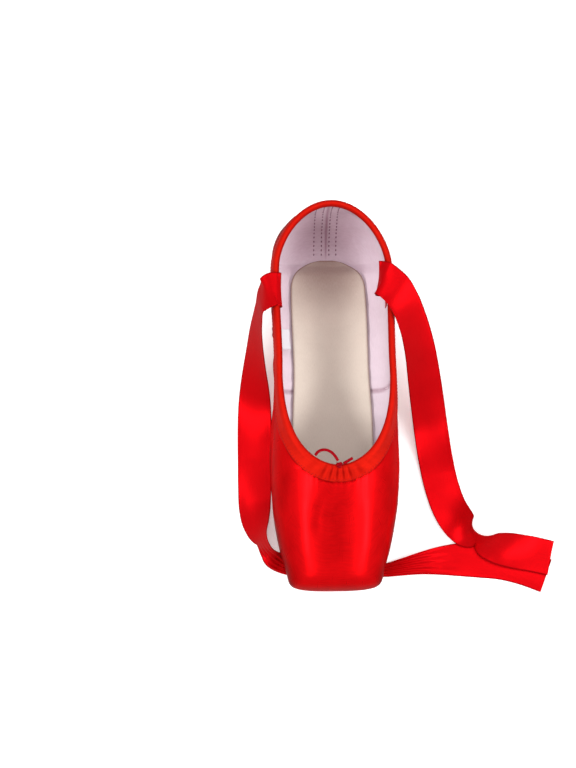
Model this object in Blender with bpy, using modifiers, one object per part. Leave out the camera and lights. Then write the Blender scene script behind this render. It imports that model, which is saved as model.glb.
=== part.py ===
"""A pointe shoe, standing empty on its sole.

Satin upper with a stiff box and a flat platform, tape binding, insole, leather outsole,
drawstring and two ankle ribbons. Metres, +Z up, toe towards -Y, heel towards +Y, floor at z = 0.
"""

import math

import bmesh
import bpy
import numpy as np

for old in list(bpy.data.objects):
    bpy.data.objects.remove(old, do_unlink=True)

# The last
LENGTH = 0.2408  # platform to back of heel
BALL_WIDTH = 0.0798  # across the widest place
INSTEP_HEIGHT = 0.0711  # edge of the throat above the floor
HEEL_HEIGHT = 0.0586  # edge of the collar at the back
VAMP_LENGTH = 0.070  # platform to edge of the throat
THROAT_DEPTH = 0.062  # from the edge of the throat to where the collar runs straight
ARCH_RISE = 0.0186  # underside of the outsole above the floor, at the waist
PLATFORM_LEAN = 0.0039  # how far the foot of the platform stands back from its top
PLATFORM_HEIGHT = 0.020  # where the platform stops leaning
TOE_REACH = 0.0250  # platform to where the sides run straight
HEEL_REACH = 0.0354  # back of the heel to where the sides run straight, on the floor
HEEL_TOP_REACH = 0.0450  # the same at the collar

# Thicknesses
WALL = 0.0016  # satin, canvas and paste at the sides
BOX_WALL = 0.0030  # layers of burlap and paste in the box
BOX_LENGTH = 0.0600  # platform to the rear edge of the box
BOX_FADE = 0.0250  # length over which the box thins to the wall
INSOLE_THICKNESS = 0.0020
SOLE_THICKNESS = 0.0025
TAPE_THICKNESS = 0.0008
GAP = 0.0003  # between pieces that touch
INSOLE_SEAT = 0.00055  # between the insole and the curved wall under it
SOLE_SEAT = 0.00050  # between the outsole and the curved wall over it

# The outsole and the insole
SOLE_FRONT = 0.0269  # platform to front end of the outsole
SOLE_REAR = 0.0404  # back of the heel to rear end of the outsole
SOLE_WIDTH = 0.0460
SOLE_OVERLAP = 0.0060  # how far the outsole laps under the upper
INSOLE_FRONT = 0.0330  # platform to front end of the insole
INSOLE_REAR = 0.0280  # back of the heel to rear end of the insole
INSOLE_WIDTH = 0.0500
FLAT_DEPTH = 0.0005  # how far the forefoot is pressed flat on the floor
HEEL_FLAT_DEPTH = 0.0011  # the same under the heel
HEEL_FLAT_REAR = 0.0190  # back of the heel to the rear of that flat
HEEL_FLAT_LENGTH = 0.0110
SOLE_ROUNDING = (0.45, 0.30)  # length of the round ends, front and rear, as shares of the width
INSOLE_ROUNDING = (0.50, 0.42)
ROUNDING_POWER = 2.2  # 2 would be an ellipse

# The binding
TAPE_OUTSIDE = 0.0095  # height of the tape on the outside
TAPE_INSIDE = 0.0065  # height of the tape on the inside
TAPE_DEPTHS = (TAPE_OUTSIDE, TAPE_INSIDE, TAPE_INSIDE / 2, 0.0)

# The drawstring
STRING_DIAMETER = 0.0017
KNOT_SIZE = (0.0044, 0.0040, 0.0034)
KNOT_BACK = 0.0009  # edge of the throat to the middle of the knot

# The ribbons
RIBBON_WIDTH = 0.0220
RIBBON_THICKNESS = 0.0005
LEFT_RIBBON_SEAT = 0.0560  # back of the heel to the middle of the left ribbon
RIGHT_RIBBON_SEAT = 0.0514  # the same to the right one
RIBBON_SEWN = 0.0170  # how far a ribbon reaches down inside
RIBBON_CLEARANCE = 0.0008  # between a ribbon and the tape that it passes over
RIBBON_FAN_SHARE = 2.08  # the ribbons are sewn no farther round the heel's fan than this

# Lines and shapes that follow from those
THROAT = VAMP_LENGTH - LENGTH / 2
TOE_TURN = TOE_REACH - LENGTH / 2
TOE_POWER = 12.0
HEEL_POWER = 2.6  # roundness of the heel in plan on the floor
HEEL_TOP_POWER = 2.0  # the same at the collar, where it is an ellipse
POWER_BLEND = 0.010  # height over which the lower section passes into the upper one
COLLAR_PULL = 0.962  # the collar's half width as a share of the last's
SOLE_START = SOLE_FRONT - LENGTH / 2
SOLE_END = LENGTH / 2 - SOLE_REAR
HEEL_FLAT = (LENGTH / 2 - HEEL_FLAT_REAR - HEEL_FLAT_LENGTH, LENGTH / 2 - HEEL_FLAT_REAR)

# Columns: station as a share of LENGTH from the middle, half width as a share of half BALL_WIDTH,
# height of the widest line as a share of INSTEP_HEIGHT, power of the section below it and above it
SECTIONS = (
    (-0.500, 0.710, 0.260, 3.0, 2.7),
    (-0.457, 0.749, 0.272, 3.0, 2.7),
    (-0.397, 0.850, 0.295, 3.1, 2.7),
    (-0.336, 0.925, 0.350, 3.1, 2.6),
    (-0.277, 0.975, 0.410, 3.1, 2.5),
    (-0.190, 1.000, 0.480, 3.0, 2.5),
    (-0.120, 0.983, 0.545, 3.0, 2.5),
    (0.000, 0.935, 0.647, 3.0, 2.7),
    (0.090, 0.920, 0.650, 3.0, 3.0),
    (0.190, 0.928, 0.640, 3.0, 3.0),
    (0.270, 0.935, 0.600, 3.1, 3.0),
    (0.335, 0.925, 0.555, 3.2, 2.7),
    (0.395, 0.893, 0.505, 3.2, 2.3),
    (0.500, 0.828, 0.480, 3.2, 2.0),
)

# Columns: share of VAMP_LENGTH from the platform, height of the ridge as a share of INSTEP_HEIGHT
RIDGE = ((-0.10, 0.484), (0.0, 0.527), (0.216, 0.632), (0.504, 0.762), (0.706, 0.858), (0.827, 0.918),
         (0.941, 0.972), (1.0, 1.0))

# Columns: station as a share of LENGTH, height of the collar between HEEL_HEIGHT, 0, and INSTEP_HEIGHT, 1
COLLAR = ((-0.330, 1.14), (-0.209, 1.000), (0.055, 0.640), (0.143, 0.420), (0.210, 0.150), (0.275, -0.110),
          (0.340, -0.260), (0.403, -0.270), (0.450, -0.180), (0.500, 0.060))

# Columns: share of the outsole's length from its front, underside as a share of ARCH_RISE,
# thickness as a share of SOLE_THICKNESS, half width as a share of half SOLE_WIDTH
SOLE = (
    (0.000, 0.000, 0.62, 1.00),
    (0.078, 0.000, 1.00, 1.00),
    (0.124, 0.110, 1.00, 1.00),
    (0.161, 0.260, 1.00, 0.99),
    (0.234, 0.510, 1.00, 0.96),
    (0.308, 0.690, 1.00, 0.91),
    (0.420, 0.890, 1.00, 0.80),
    (0.495, 0.985, 1.00, 0.75),
    (0.568, 0.985, 1.00, 0.73),
    (0.664, 0.890, 1.00, 0.74),
    (0.765, 0.710, 1.00, 0.77),
    (0.854, 0.495, 1.00, 0.80),
    (0.952, 0.290, 0.90, 0.80),
    (1.000, 0.225, 0.75, 0.80),
)

# Columns: height as a share of HEEL_HEIGHT, how far the back stands in as a share of LENGTH
HEEL_BACK = ((0.0, 0.0183), (0.17, 0.0162), (0.32, 0.0058), (0.46, 0.0), (0.60, 0.0), (0.82, 0.0033),
             (1.0, 0.0050))

# Columns: share of the insole's length from its front, half width as a share of half INSOLE_WIDTH
INSOLE = ((0.0, 0.98), (0.2, 1.04), (0.4, 1.00), (0.6, 0.94), (0.8, 0.95), (1.0, 0.92))

# Meshing of the upper
COLUMNS = 35  # from the middle of the toe to the middle of the heel
ROWS = 22  # from the underside to the tape
TURN_WEIGHT = 0.022  # on the upper, a turn of one radian counts as this much length
ROUTE_TURN_WEIGHT = 0.012  # the same along a ribbon or a string
RAY_HEIGHT = 0.030  # the rays that find the wall start at this height
RAY_REACH = 0.200  # beyond any point of the wall
STEEPEST_DEGREES = 86.0  # degrees above and below level that the rays cover
FAN_FRONT = 0.0154  # throat to the middle of the fan of planes round the toe
FAN_REAR = 0.0200  # rear end of the outsole to the middle of the fan round the heel
END_MARGIN = 0.0004  # a plate's first and last rows stand this far inside its ends
EVEN_ROWS = 0.35  # share of even spacing among a plate's rows, the rest gathers at its ends
WELD = 0.00002
FLOOR_CLEARANCE = 0.0001  # under a ribbon that lies on the floor


def smooth_line(knots, values):
    """A cubic through the knots that keeps rising or falling as they do, level beyond both ends."""
    knots = np.asarray(knots, dtype=float)
    values = np.asarray(values, dtype=float)
    span = np.diff(knots)
    slope = np.diff(values) / span
    before, after = slope[:-1], slope[1:]
    total = np.where(before * after > 0, before + after, 1.0)
    inner = np.where(before * after > 0, 2.0 * before * after / total, 0.0)
    tangent = np.concatenate((slope[:1], inner, slope[-1:]))

    def at(place):
        place = np.clip(place, knots[0], knots[-1])
        i = np.clip(np.searchsorted(knots, place, side="right") - 1, 0, len(span) - 1)
        t = (place - knots[i]) / span[i]
        rise = span[i] * ((1 - t) ** 2 * t * tangent[i] - t * t * (1 - t) * tangent[i + 1])
        return values[i] + (values[i + 1] - values[i]) * t * t * (3 - 2 * t) + rise

    return at


def ease(share):
    """0 below 0, 1 above 1, and a smooth step between."""
    share = np.clip(share, 0.0, 1.0)
    return share * share * (3.0 - 2.0 * share)


section = np.array(SECTIONS)
half_width = smooth_line(section[:, 0] * LENGTH, section[:, 1] * BALL_WIDTH / 2)
middle_line = smooth_line(section[:, 0] * LENGTH, section[:, 2] * INSTEP_HEIGHT)
low_power = smooth_line(section[:, 0] * LENGTH, section[:, 3])
high_power = smooth_line(section[:, 0] * LENGTH, section[:, 4])
ridge = np.array(RIDGE)
ridge_line = smooth_line(ridge[:, 0] * VAMP_LENGTH - LENGTH / 2, ridge[:, 1] * INSTEP_HEIGHT)
collar = np.array(COLLAR)
throat_shift = THROAT - collar[1, 0] * LENGTH
throat_share = np.clip((collar[2, 0] - collar[:, 0]) / (collar[2, 0] - collar[1, 0]), 0.0, 1.0)
collar_stations = collar[:, 0] * LENGTH + throat_shift * throat_share
collar_line = smooth_line(collar_stations, HEEL_HEIGHT + collar[:, 1] * (INSTEP_HEIGHT - HEEL_HEIGHT))
sole = np.array(SOLE)
sole_stations = SOLE_START + sole[:, 0] * (SOLE_END - SOLE_START)
sole_underside = sole[:, 1] * ARCH_RISE - FLAT_DEPTH
sole_thickness = smooth_line(sole_stations, sole[:, 2] * SOLE_THICKNESS)
sole_width = smooth_line(sole_stations, sole[:, 3] * SOLE_WIDTH / 2)
sole_top = sole_underside + sole[:, 2] * SOLE_THICKNESS + SOLE_SEAT
bottom_line = smooth_line(
    np.concatenate(([-0.52 * LENGTH], sole_stations, HEEL_FLAT)),
    np.concatenate(([sole_top[0]], sole_top, [-HEEL_FLAT_DEPTH, -HEEL_FLAT_DEPTH])),
)
heel_back = np.array(HEEL_BACK)
back_line = smooth_line(heel_back[:, 0] * HEEL_HEIGHT, LENGTH / 2 - heel_back[:, 1] * LENGTH)
insole_table = np.array(INSOLE)
insole_start = INSOLE_FRONT - LENGTH / 2
insole_end = LENGTH / 2 - INSOLE_REAR
insole_width = smooth_line(
    insole_start + insole_table[:, 0] * (insole_end - insole_start), insole_table[:, 1] * INSOLE_WIDTH / 2
)


def front_line(z):
    """The front of the platform: upright above PLATFORM_HEIGHT, leaning back below it."""
    below = np.clip((PLATFORM_HEIGHT - z) / PLATFORM_HEIGHT, 0.0, 1.0)
    return -LENGTH / 2 + PLATFORM_LEAN * below**1.5


def top_line(y):
    """The ridge of the vamp, and behind the throat the height that makes the collar's plan an ellipse."""
    power = high_power(y)
    back = np.clip((THROAT + THROAT_DEPTH - y) / THROAT_DEPTH, 0.0, 1.0)
    plan = COLLAR_PULL * np.sqrt(1.0 - back * back)
    share = (1.0 - plan**power) ** (1.0 / power)
    middle = middle_line(y)
    return np.where(y <= THROAT, ridge_line(y), middle + (collar_line(y) - middle) / share)


def excess(x, y, z):
    """Below 0 inside the last and above 0 outside: a rounded section, closed at toe and heel."""
    middle = middle_line(y)
    above = (z - middle) / (top_line(y) - middle)
    below = (middle - z) / (middle - bottom_line(y))
    rise = np.minimum(np.where(z > middle, above, below), 4.0)
    power = low_power(y) + (high_power(y) - low_power(y)) * ease(0.5 + (z - middle) / POWER_BLEND / 2)
    toe = np.clip((TOE_TURN - y) / (TOE_TURN - front_line(z)), 0.0, 4.0)
    up = ease(z / HEEL_HEIGHT)
    turn = LENGTH / 2 - HEEL_REACH - (HEEL_TOP_REACH - HEEL_REACH) * up
    heel = np.clip((y - turn) / (back_line(z) - turn), 0.0, 4.0)
    heel_power = HEEL_POWER + (HEEL_TOP_POWER - HEEL_POWER) * up
    across = np.minimum(np.abs(x) / half_width(y), 4.0)
    return across**power + rise**power + toe**TOE_POWER + heel**heel_power - 1.0


def bisect(function, low, high, steps=44):
    """Where an increasing function passes 0 between two arrays of places."""
    low = low.copy()
    high = high.copy()
    for _ in range(steps):
        middle = (low + high) / 2
        under = function(middle) < 0
        low = np.where(under, middle, low)
        high = np.where(under, high, middle)
    return (low + high) / 2


def outward(points):
    """Unit normals of the last at the points, from small steps in its function."""
    step = 0.00002
    x, y, z = points[..., 0], points[..., 1], points[..., 2]
    slope = np.stack(
        (
            excess(x + step, y, z) - excess(x - step, y, z),
            excess(x, y + step, z) - excess(x, y - step, z),
            excess(x, y, z + step) - excess(x, y, z - step),
        ),
        axis=-1,
    )
    return slope / np.linalg.norm(slope, axis=-1, keepdims=True)


def end_round(y, start, end, width, rounding):
    """A plate's half width share with round ends, below 0 beyond them."""
    front, rear = width * rounding[0], width * rounding[1]
    over = np.maximum((start + front - y) / front, (y - end + rear) / rear)
    over = np.maximum(over, 0.0)
    inside = np.maximum(0.0, 1.0 - over**ROUNDING_POWER) ** (1 / ROUNDING_POWER)
    return inside - np.maximum(0.0, over - 1.0)


def sole_half(y):
    return sole_width(y) * end_round(y, SOLE_START, SOLE_END, SOLE_WIDTH, SOLE_ROUNDING)


def insole_half(y):
    return insole_width(y) * end_round(y, insole_start, insole_end, INSOLE_WIDTH, INSOLE_ROUNDING)


toe_pivot = THROAT + FAN_FRONT
heel_pivot = SOLE_END - FAN_REAR


def spoke(place):
    """Centre and direction of an upright plane: 0 to 1 fans round the toe, 1 to 2 runs along, 2 to 3
    fans round the heel."""
    turn = np.radians(90.0) * (np.minimum(place - 1.0, 0.0) + np.maximum(place - 2.0, 0.0))
    centre = toe_pivot + np.clip(place - 1.0, 0.0, 1.0) * (heel_pivot - toe_pivot)
    return centre, np.cos(turn), np.sin(turn)


def on_last(place, lift):
    """The last's surface along rays: place picks the plane and lift is the angle above level."""
    centre, east, north = spoke(place)
    level, up = np.cos(lift), np.sin(lift)

    def beyond(reach):
        out = reach * level
        return excess(out * east, centre + out * north, RAY_HEIGHT + reach * up)

    start = np.zeros(np.broadcast(place, lift).shape)
    reach = bisect(beyond, start, start + RAY_REACH)
    out = reach * level
    return np.stack((out * east, centre + out * north, RAY_HEIGHT + reach * up), axis=-1)


def first_crossing(angles, values):
    """The angle at which each row of values first rises through 0."""
    i = np.maximum(np.argmax(values > 0, axis=1), 1)
    row = np.arange(len(values))
    low, high = values[row, i - 1], values[row, i]
    share = np.clip(-low / (high - low), 0.0, 1.0)
    return angles[i - 1] + share * (angles[i] - angles[i - 1])


def lengths_along(points, turn_weight):
    """Length along each row of points, with what each turn adds."""
    step = np.diff(points, axis=-2)
    size = np.linalg.norm(step, axis=-1)
    unit = step / np.maximum(size, 1e-9)[..., None]
    turn = np.arccos(np.clip(np.sum(unit[..., 1:, :] * unit[..., :-1, :], axis=-1), -1.0, 1.0))
    turn = np.concatenate((turn[..., :1], turn), axis=-1)
    walked = np.cumsum(size + turn_weight * turn, axis=-1)
    return np.concatenate((np.zeros_like(walked[..., :1]), walked), axis=-1)


def column_places(count):
    """Places of the planes, closer together where the outline turns."""
    dense = np.linspace(0.0, 3.0, 1201)
    outline = on_last(dense, np.zeros_like(dense))
    along = lengths_along(outline, TURN_WEIGHT)
    return np.interp(np.linspace(0.0, along[-1], count), along, dense)


def wall_angles(places):
    """Lift angles from the underside's opening to the collar, many to each plane."""
    centre, east, north = spoke(places)

    def past_opening(out):
        y = centre + out * north
        return out * east - (sole_half(y) - SOLE_OVERLAP)

    opening = bisect(past_opening, np.zeros_like(places), np.full_like(places, RAY_REACH))
    down = np.radians(np.linspace(-STEEPEST_DEGREES, 0.0, 260))
    low = on_last(places[:, None], down[None, :])
    reach = np.hypot(low[..., 0], low[..., 1] - centre[:, None])
    start = first_crossing(down, reach - opening[:, None])
    up = np.radians(np.linspace(0.0, STEEPEST_DEGREES, 420))
    high = on_last(places[:, None], up[None, :])
    end = first_crossing(up, high[..., 2] - collar_line(high[..., 1]))
    return start[:, None] + (end - start)[:, None] * np.linspace(0.0, 1.0, 240)[None, :]


def wall_thickness(y):
    return WALL + (BOX_WALL - WALL) * ease((BOX_LENGTH - LENGTH / 2 - y) / BOX_FADE)


def read_rows(wanted, known, values):
    """Each row's values where its known numbers reach the wanted ones."""
    return np.stack([np.interp(w, k, v) for w, k, v in zip(wanted, known, values)])


places = column_places(COLUMNS)
angles = wall_angles(places)
traces = on_last(places[:, None], angles)


def collection(name):
    made = bpy.data.collections.new(name)
    bpy.context.scene.collection.children.link(made)
    return made


shoe = collection("pointe_shoe")


def material(name, colour, roughness):
    made = bpy.data.materials.new(name)
    made.use_nodes = True
    shader = made.node_tree.nodes["Principled BSDF"]
    shader.inputs["Base Color"].default_value = (*colour, 1.0)
    shader.inputs["Roughness"].default_value = roughness
    shader.inputs["Metallic"].default_value = 0.0
    return made


def loft(name, loops, finish, closed, half):
    """A solid through closed loops or half sections, capped at its ends unless they meet the middle."""
    columns, size, _ = loops.shape
    points = loops.reshape(-1, 3)
    faces = []
    for c in range(columns - 1):
        for r in range(size if closed else size - 1):
            s = (r + 1) % size
            a, b, d, e = c * size + r, (c + 1) * size + r, (c + 1) * size + s, c * size + s
            if np.linalg.norm(points[a] - points[d]) < np.linalg.norm(points[b] - points[e]):
                faces += [(a, b, d), (a, d, e)]
            else:
                faces += [(a, b, e), (b, d, e)]
    if not (closed and half):
        faces.append(tuple(range(size)))
        faces.append(tuple(reversed(range((columns - 1) * size, columns * size))))
    fans = np.array([(f[0], f[i], f[i + 1]) for f in faces for i in range(1, len(f) - 1)])
    first, second, third = points[fans[:, 0]], points[fans[:, 1]], points[fans[:, 2]]
    volume = np.sum(first * np.cross(second, third))
    if volume < 0:
        faces = [tuple(reversed(f)) for f in faces]
    mesh = bpy.data.meshes.new(name)
    mesh.from_pydata(points.tolist(), [], faces)
    mesh.materials.append(finish)
    mesh.shade_smooth()
    made = bpy.data.objects.new(name, mesh)
    shoe.objects.link(made)
    if half:
        mirror = made.modifiers.new("other_half", "MIRROR")
        mirror.merge_threshold = WELD
    return made


def wall_rows():
    """Lift angles of the wall's rows: by length and turn below the tape, at its own depths on it."""
    plain = lengths_along(traces, 0.0)
    weighted = lengths_along(traces, TURN_WEIGHT)
    tape = read_rows(plain[:, -1:] - np.array(TAPE_DEPTHS)[None, :], plain, angles)
    edge = read_rows(tape[:, :1], angles, weighted)
    below = read_rows(edge * np.linspace(0.0, 1.0, ROWS)[None, :-1], weighted, angles)
    return np.concatenate((below, tape), axis=1)


def build_upper():
    """The hollow wall: rows on the last outside, the same rows moved in by the wall's thickness inside."""
    outer = on_last(places[:, None], wall_rows())
    inner = outer - outward(outer) * wall_thickness(outer[..., 1])[..., None]
    outer[..., 2] = np.maximum(outer[..., 2], 0.0)
    inner[..., 2] = np.maximum(inner[..., 2], WALL)
    inner = np.concatenate((inner[:, : ROWS - 1 : 2], inner[:, ROWS - 1 :]), axis=1)
    loops = np.concatenate((outer, inner[:, ::-1]), axis=1)
    loops[[0, -1], :, 0] = 0.0
    loft("upper", loops, material("satin", (0.68, 0.004, 0.008), 0.38), closed=True, half=True)


def rim_section():
    """The tape's outline: distance down the wall from its edge, and distance out from its face.
    It goes down the outside, over the edge in an arch of three points, down the inside and back."""
    inside = -WALL - GAP
    top = GAP + TAPE_THICKNESS
    out = GAP + TAPE_THICKNESS
    return (
        (TAPE_DEPTHS[0], GAP),
        (TAPE_DEPTHS[0], out),
        (TAPE_DEPTHS[1], out),
        (TAPE_DEPTHS[2], out),
        (0.0, out),
        (-top * 0.75, GAP + TAPE_THICKNESS * 0.6),
        (-top, -WALL / 2),
        (-top * 0.75, inside - TAPE_THICKNESS * 0.6),
        (0.0, inside - TAPE_THICKNESS),
        (TAPE_DEPTHS[2], inside - TAPE_THICKNESS),
        (TAPE_DEPTHS[1], inside - TAPE_THICKNESS),
        (TAPE_DEPTHS[1], inside),
        (TAPE_DEPTHS[2], inside),
        (0.0, inside),
        (-GAP, inside),
        (-GAP, GAP),
        (0.0, GAP),
        (TAPE_DEPTHS[2], GAP),
        (TAPE_DEPTHS[1], GAP),
    )


def wall_frame(places, angles, traces, down):
    """Point on the last at a distance down from the collar's edge, its normal and the way up the wall."""
    along = lengths_along(traces, 0.0)
    depth = np.maximum(down, 0.0)

    def at_depth(depth):
        return on_last(places[:, None], read_rows(along[:, -1:] - depth[None, :], along, angles))

    point = at_depth(depth)
    up = at_depth(np.maximum(depth - 0.0004, 0.0)) - at_depth(depth + 0.0004)
    up /= np.linalg.norm(up, axis=-1, keepdims=True)
    normal = outward(point)
    return point + up * np.maximum(-down, 0.0)[None, :, None], normal, up


def build_binding():
    section = np.array(rim_section())
    point, normal, _ = wall_frame(places, angles, traces, section[:, 0])
    loops = point + normal * section[:, 1][None, :, None]
    loops[[0, -1], :, 0] = 0.0
    loft("binding", loops, material("binding_tape", (0.62, 0.012, 0.008), 0.55), closed=True, half=True)


def underside(x, y):
    """Height of the last's underside over a place in plan, and the steepness there."""

    def height(px, py):
        top = middle_line(py)
        return top - bisect(lambda d: excess(px, py, top - d), np.zeros_like(px), np.full_like(px, 0.09))

    step = 0.0001
    slope_x = (height(x + step, y) - height(x - step, y)) / (2 * step)
    slope_y = (height(x, y + step) - height(x, y - step)) / (2 * step)
    return height(x, y), np.sqrt(1.0 + slope_x**2 + slope_y**2)


def plate_rows(start, end, half, count, across):
    """Places in plan over half a plate: stations closer together at both ends, shares across each."""
    even = np.linspace(0.0, 1.0, count)
    share = EVEN_ROWS * even + (1.0 - EVEN_ROWS) * (0.5 - 0.5 * np.cos(math.pi * even))
    y = start + END_MARGIN + (end - start - 2 * END_MARGIN) * share
    x = np.maximum(half(y), END_MARGIN)[:, None] * np.sin(np.linspace(0.0, math.pi / 2, across))[None, :]
    return x, np.repeat(y[:, None], across, axis=1)


def build_plate(name, x, y, top, bottom, finish):
    upper_side = np.stack((x, y, top), axis=-1)
    lower_side = np.stack((x, y, bottom), axis=-1)
    loops = np.concatenate((lower_side, upper_side[:, ::-1]), axis=1)
    loft(name, loops, finish, closed=False, half=True)


def build_outsole():
    """A leather plate that follows the underside and is pressed flat under the forefoot."""
    x, y = plate_rows(SOLE_START, SOLE_END, sole_half, 32, 6)
    last, steep = underside(x, y)
    top = last - SOLE_SEAT * steep
    bottom = np.maximum(top - sole_thickness(y), 0.0)
    build_plate("outsole", x, y, top, bottom, material("leather", (0.52, 0.33, 0.20), 0.6))


def build_insole():
    """A board laid on the inside of the upper, dished as the upper is."""
    x, y = plate_rows(insole_start, insole_end, insole_half, 28, 5)
    last, steep = underside(x, y)
    bottom = np.maximum(last + wall_thickness(y) * steep, WALL) + INSOLE_SEAT * steep
    finish = material("insole_cloth", (0.66, 0.56, 0.45), 0.8)
    build_plate("insole", x, y, bottom + INSOLE_THICKNESS, bottom, finish)


def smooth_route(points, count):
    """Steps along a smooth curve through a route's own points, closer together where it turns."""
    points = np.asarray(points, dtype=float)
    along = np.concatenate(([0.0], np.cumsum(np.linalg.norm(np.diff(points[:, :3], axis=0), axis=1))))
    dense = np.linspace(0.0, along[-1], count * 12)
    route = np.stack([smooth_curve(along, points[:, i])(dense) for i in range(points.shape[1])], axis=1)
    walked = lengths_along(route[:, :3], ROUTE_TURN_WEIGHT)
    even = np.linspace(0.0, walked[-1], count)
    return np.stack([np.interp(even, walked, route[:, i]) for i in range(points.shape[1])], axis=1)


def smooth_curve(knots, values):
    """A cubic through the knots whose slope at each is that of its neighbours' chord."""
    slope = np.gradient(values, knots)

    def at(place):
        i = np.clip(np.searchsorted(knots, place, side="right") - 1, 0, len(knots) - 2)
        span = knots[i + 1] - knots[i]
        t = (place - knots[i]) / span
        start, end = slope[i] * span, slope[i + 1] * span
        rise = values[i + 1] - values[i]
        return values[i] + t * start + t * t * (3 * rise - 2 * start - end) + t**3 * (start + end - 2 * rise)

    return at


# Columns: across, along, up, in millimetres, the way to the ribbon's back or outer edge, and its
# width as a share of RIBBON_WIDTH, less than 1 where it is gathered
LEFT_ROUTE = (
    (-41.0, 60.5, 58.8, 0.00, 0.98, -0.15, 1.0),
    (-44.3, 57.0, 54.0, -0.02, 0.90, -0.42, 1.0),
    (-46.3, 48.5, 47.5, -0.12, 0.80, -0.58, 1.0),
    (-47.4, 38.0, 38.5, -0.28, 0.69, -0.67, 1.0),
    (-47.6, 26.0, 28.0, -0.45, 0.64, -0.60, 1.0),
    (-47.6, 13.5, 18.0, -0.66, 0.62, -0.40, 1.0),
    (-47.6, -1.0, 10.0, -0.85, 0.45, -0.26, 1.0),
    (-47.6, -18.0, 5.0, -0.96, 0.22, -0.20, 1.0),
    (-47.8, -36.0, 3.6, -0.96, 0.05, -0.26, 1.0),
    (-48.3, -52.0, 4.4, -0.93, 0.00, -0.37, 1.0),
    (-48.6, -66.0, 6.2, -0.85, 0.00, -0.53, 1.0),
    (-47.6, -78.0, 9.0, -0.62, -0.05, -0.78, 1.0),
    (-44.8, -88.5, 10.4, -0.20, -0.16, -0.96, 0.95),
    (-40.0, -96.0, 7.4, 0.05, -0.62, -0.78, 0.70),
    (-33.0, -101.5, 3.2, 0.05, -0.93, -0.36, 0.48),
    (-24.0, -104.8, 0.8, 0.00, -1.00, -0.05, 0.36),
    (-12.0, -106.2, 0.5, 0.00, -1.00, 0.00, 0.34),
    (4.0, -106.6, 0.5, 0.00, -1.00, 0.00, 0.34),
    (20.0, -106.4, 0.6, 0.00, -1.00, 0.00, 0.34),
    (32.0, -105.8, 1.2, 0.00, -0.99, -0.10, 0.38),
    (44.0, -104.0, 2.4, 0.00, -0.97, -0.24, 0.50),
    (56.0, -101.8, 2.4, 0.00, -0.97, -0.22, 0.66),
    (68.0, -100.2, 1.4, 0.00, -0.99, -0.09, 0.82),
    (80.0, -99.6, 0.5, 0.00, -1.00, 0.00, 0.95),
    (93.0, -100.2, 0.4, 0.00, -1.00, 0.00, 1.0),
    (106.0, -101.6, 0.3, -0.10, -1.00, 0.00, 1.0),
    (120.0, -105.2, 0.3, -0.20, -0.97, 0.00, 1.0),
    (134.0, -110.5, 0.3, -0.35, -0.94, 0.00, 1.0),
)
RIGHT_ROUTE = (
    (31.3, 68.5, 54.5, 0.00, 1.00, -0.10, 1.0),
    (28.2, 68.5, 60.5, 0.15, 0.97, -0.10, 1.0),
    (30.2, 67.5, 65.2, 0.30, 0.95, -0.10, 1.0),
    (37.0, 62.0, 66.3, 0.55, 0.82, -0.15, 1.0),
    (43.5, 52.5, 63.8, 0.72, 0.63, -0.30, 1.0),
    (48.5, 41.5, 58.0, 0.80, 0.50, -0.35, 1.0),
    (53.0, 28.0, 48.0, 0.87, 0.40, -0.30, 1.0),
    (57.0, 12.0, 33.0, 0.92, 0.30, -0.20, 1.0),
    (60.5, -4.0, 18.5, 0.95, 0.25, -0.12, 1.0),
    (63.5, -20.0, 7.5, 0.97, 0.22, -0.05, 1.0),
    (66.5, -37.0, 1.6, 0.98, 0.20, 0.00, 1.0),
    (70.0, -54.0, 0.6, 0.97, 0.24, 0.00, 1.0),
    (75.0, -69.0, 3.0, 0.93, 0.30, 0.12, 1.0),
    (82.0, -80.5, 7.6, 0.68, 0.52, 0.52, 1.0),
    (90.0, -88.5, 12.6, -0.20, 0.35, 0.91, 1.0),
    (101.0, -92.5, 9.8, -0.05, 0.75, 0.66, 1.0),
    (114.0, -95.0, 5.8, 0.00, 0.95, 0.31, 1.0),
    (126.0, -97.0, 3.2, 0.00, 0.99, 0.10, 1.0),
    (137.0, -99.5, 2.0, 0.00, 1.00, 0.02, 1.0),
)


def seat_rows(side, seat, over_tape):
    """Where a ribbon is sewn: its middle up the inside of the wall and, if asked, over the tape."""
    y = LENGTH / 2 - seat
    near = np.minimum(1.0 + (y - toe_pivot) / (heel_pivot - toe_pivot), RIBBON_FAN_SHARE)
    place = np.array([near, near + 0.04])
    lift = wall_angles(place)
    clear = GAP + TAPE_THICKNESS + RIBBON_THICKNESS / 2 + RIBBON_CLEARANCE
    inside = -WALL - clear
    depths = RIBBON_SEWN * np.array([1.0, 0.75, 0.5, 0.25, 0.0])
    point, out, up = wall_frame(place, lift, on_last(place[:, None], lift), depths)
    along = point[1, -1] - point[0, -1]
    along /= np.linalg.norm(along)
    wall = point[0] + out[0] * inside
    edge, out, up = point[0, -1], out[0, -1], up[0, -1]
    rows = list(wall) if over_tape else list(wall[:3])
    if over_tape:
        rows += [
            edge + up * clear * 0.8 + out * inside * 0.75,
            edge + up * (clear + GAP) - out * WALL / 2,
            edge + up * clear * 0.8 + out * clear * 0.9,
        ]
    rows = np.array([np.concatenate((row, along, [1.0])) for row in rows])
    return rows * np.array([side, 1.0, 1.0, side, 1.0, 1.0, 1.0])


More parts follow.
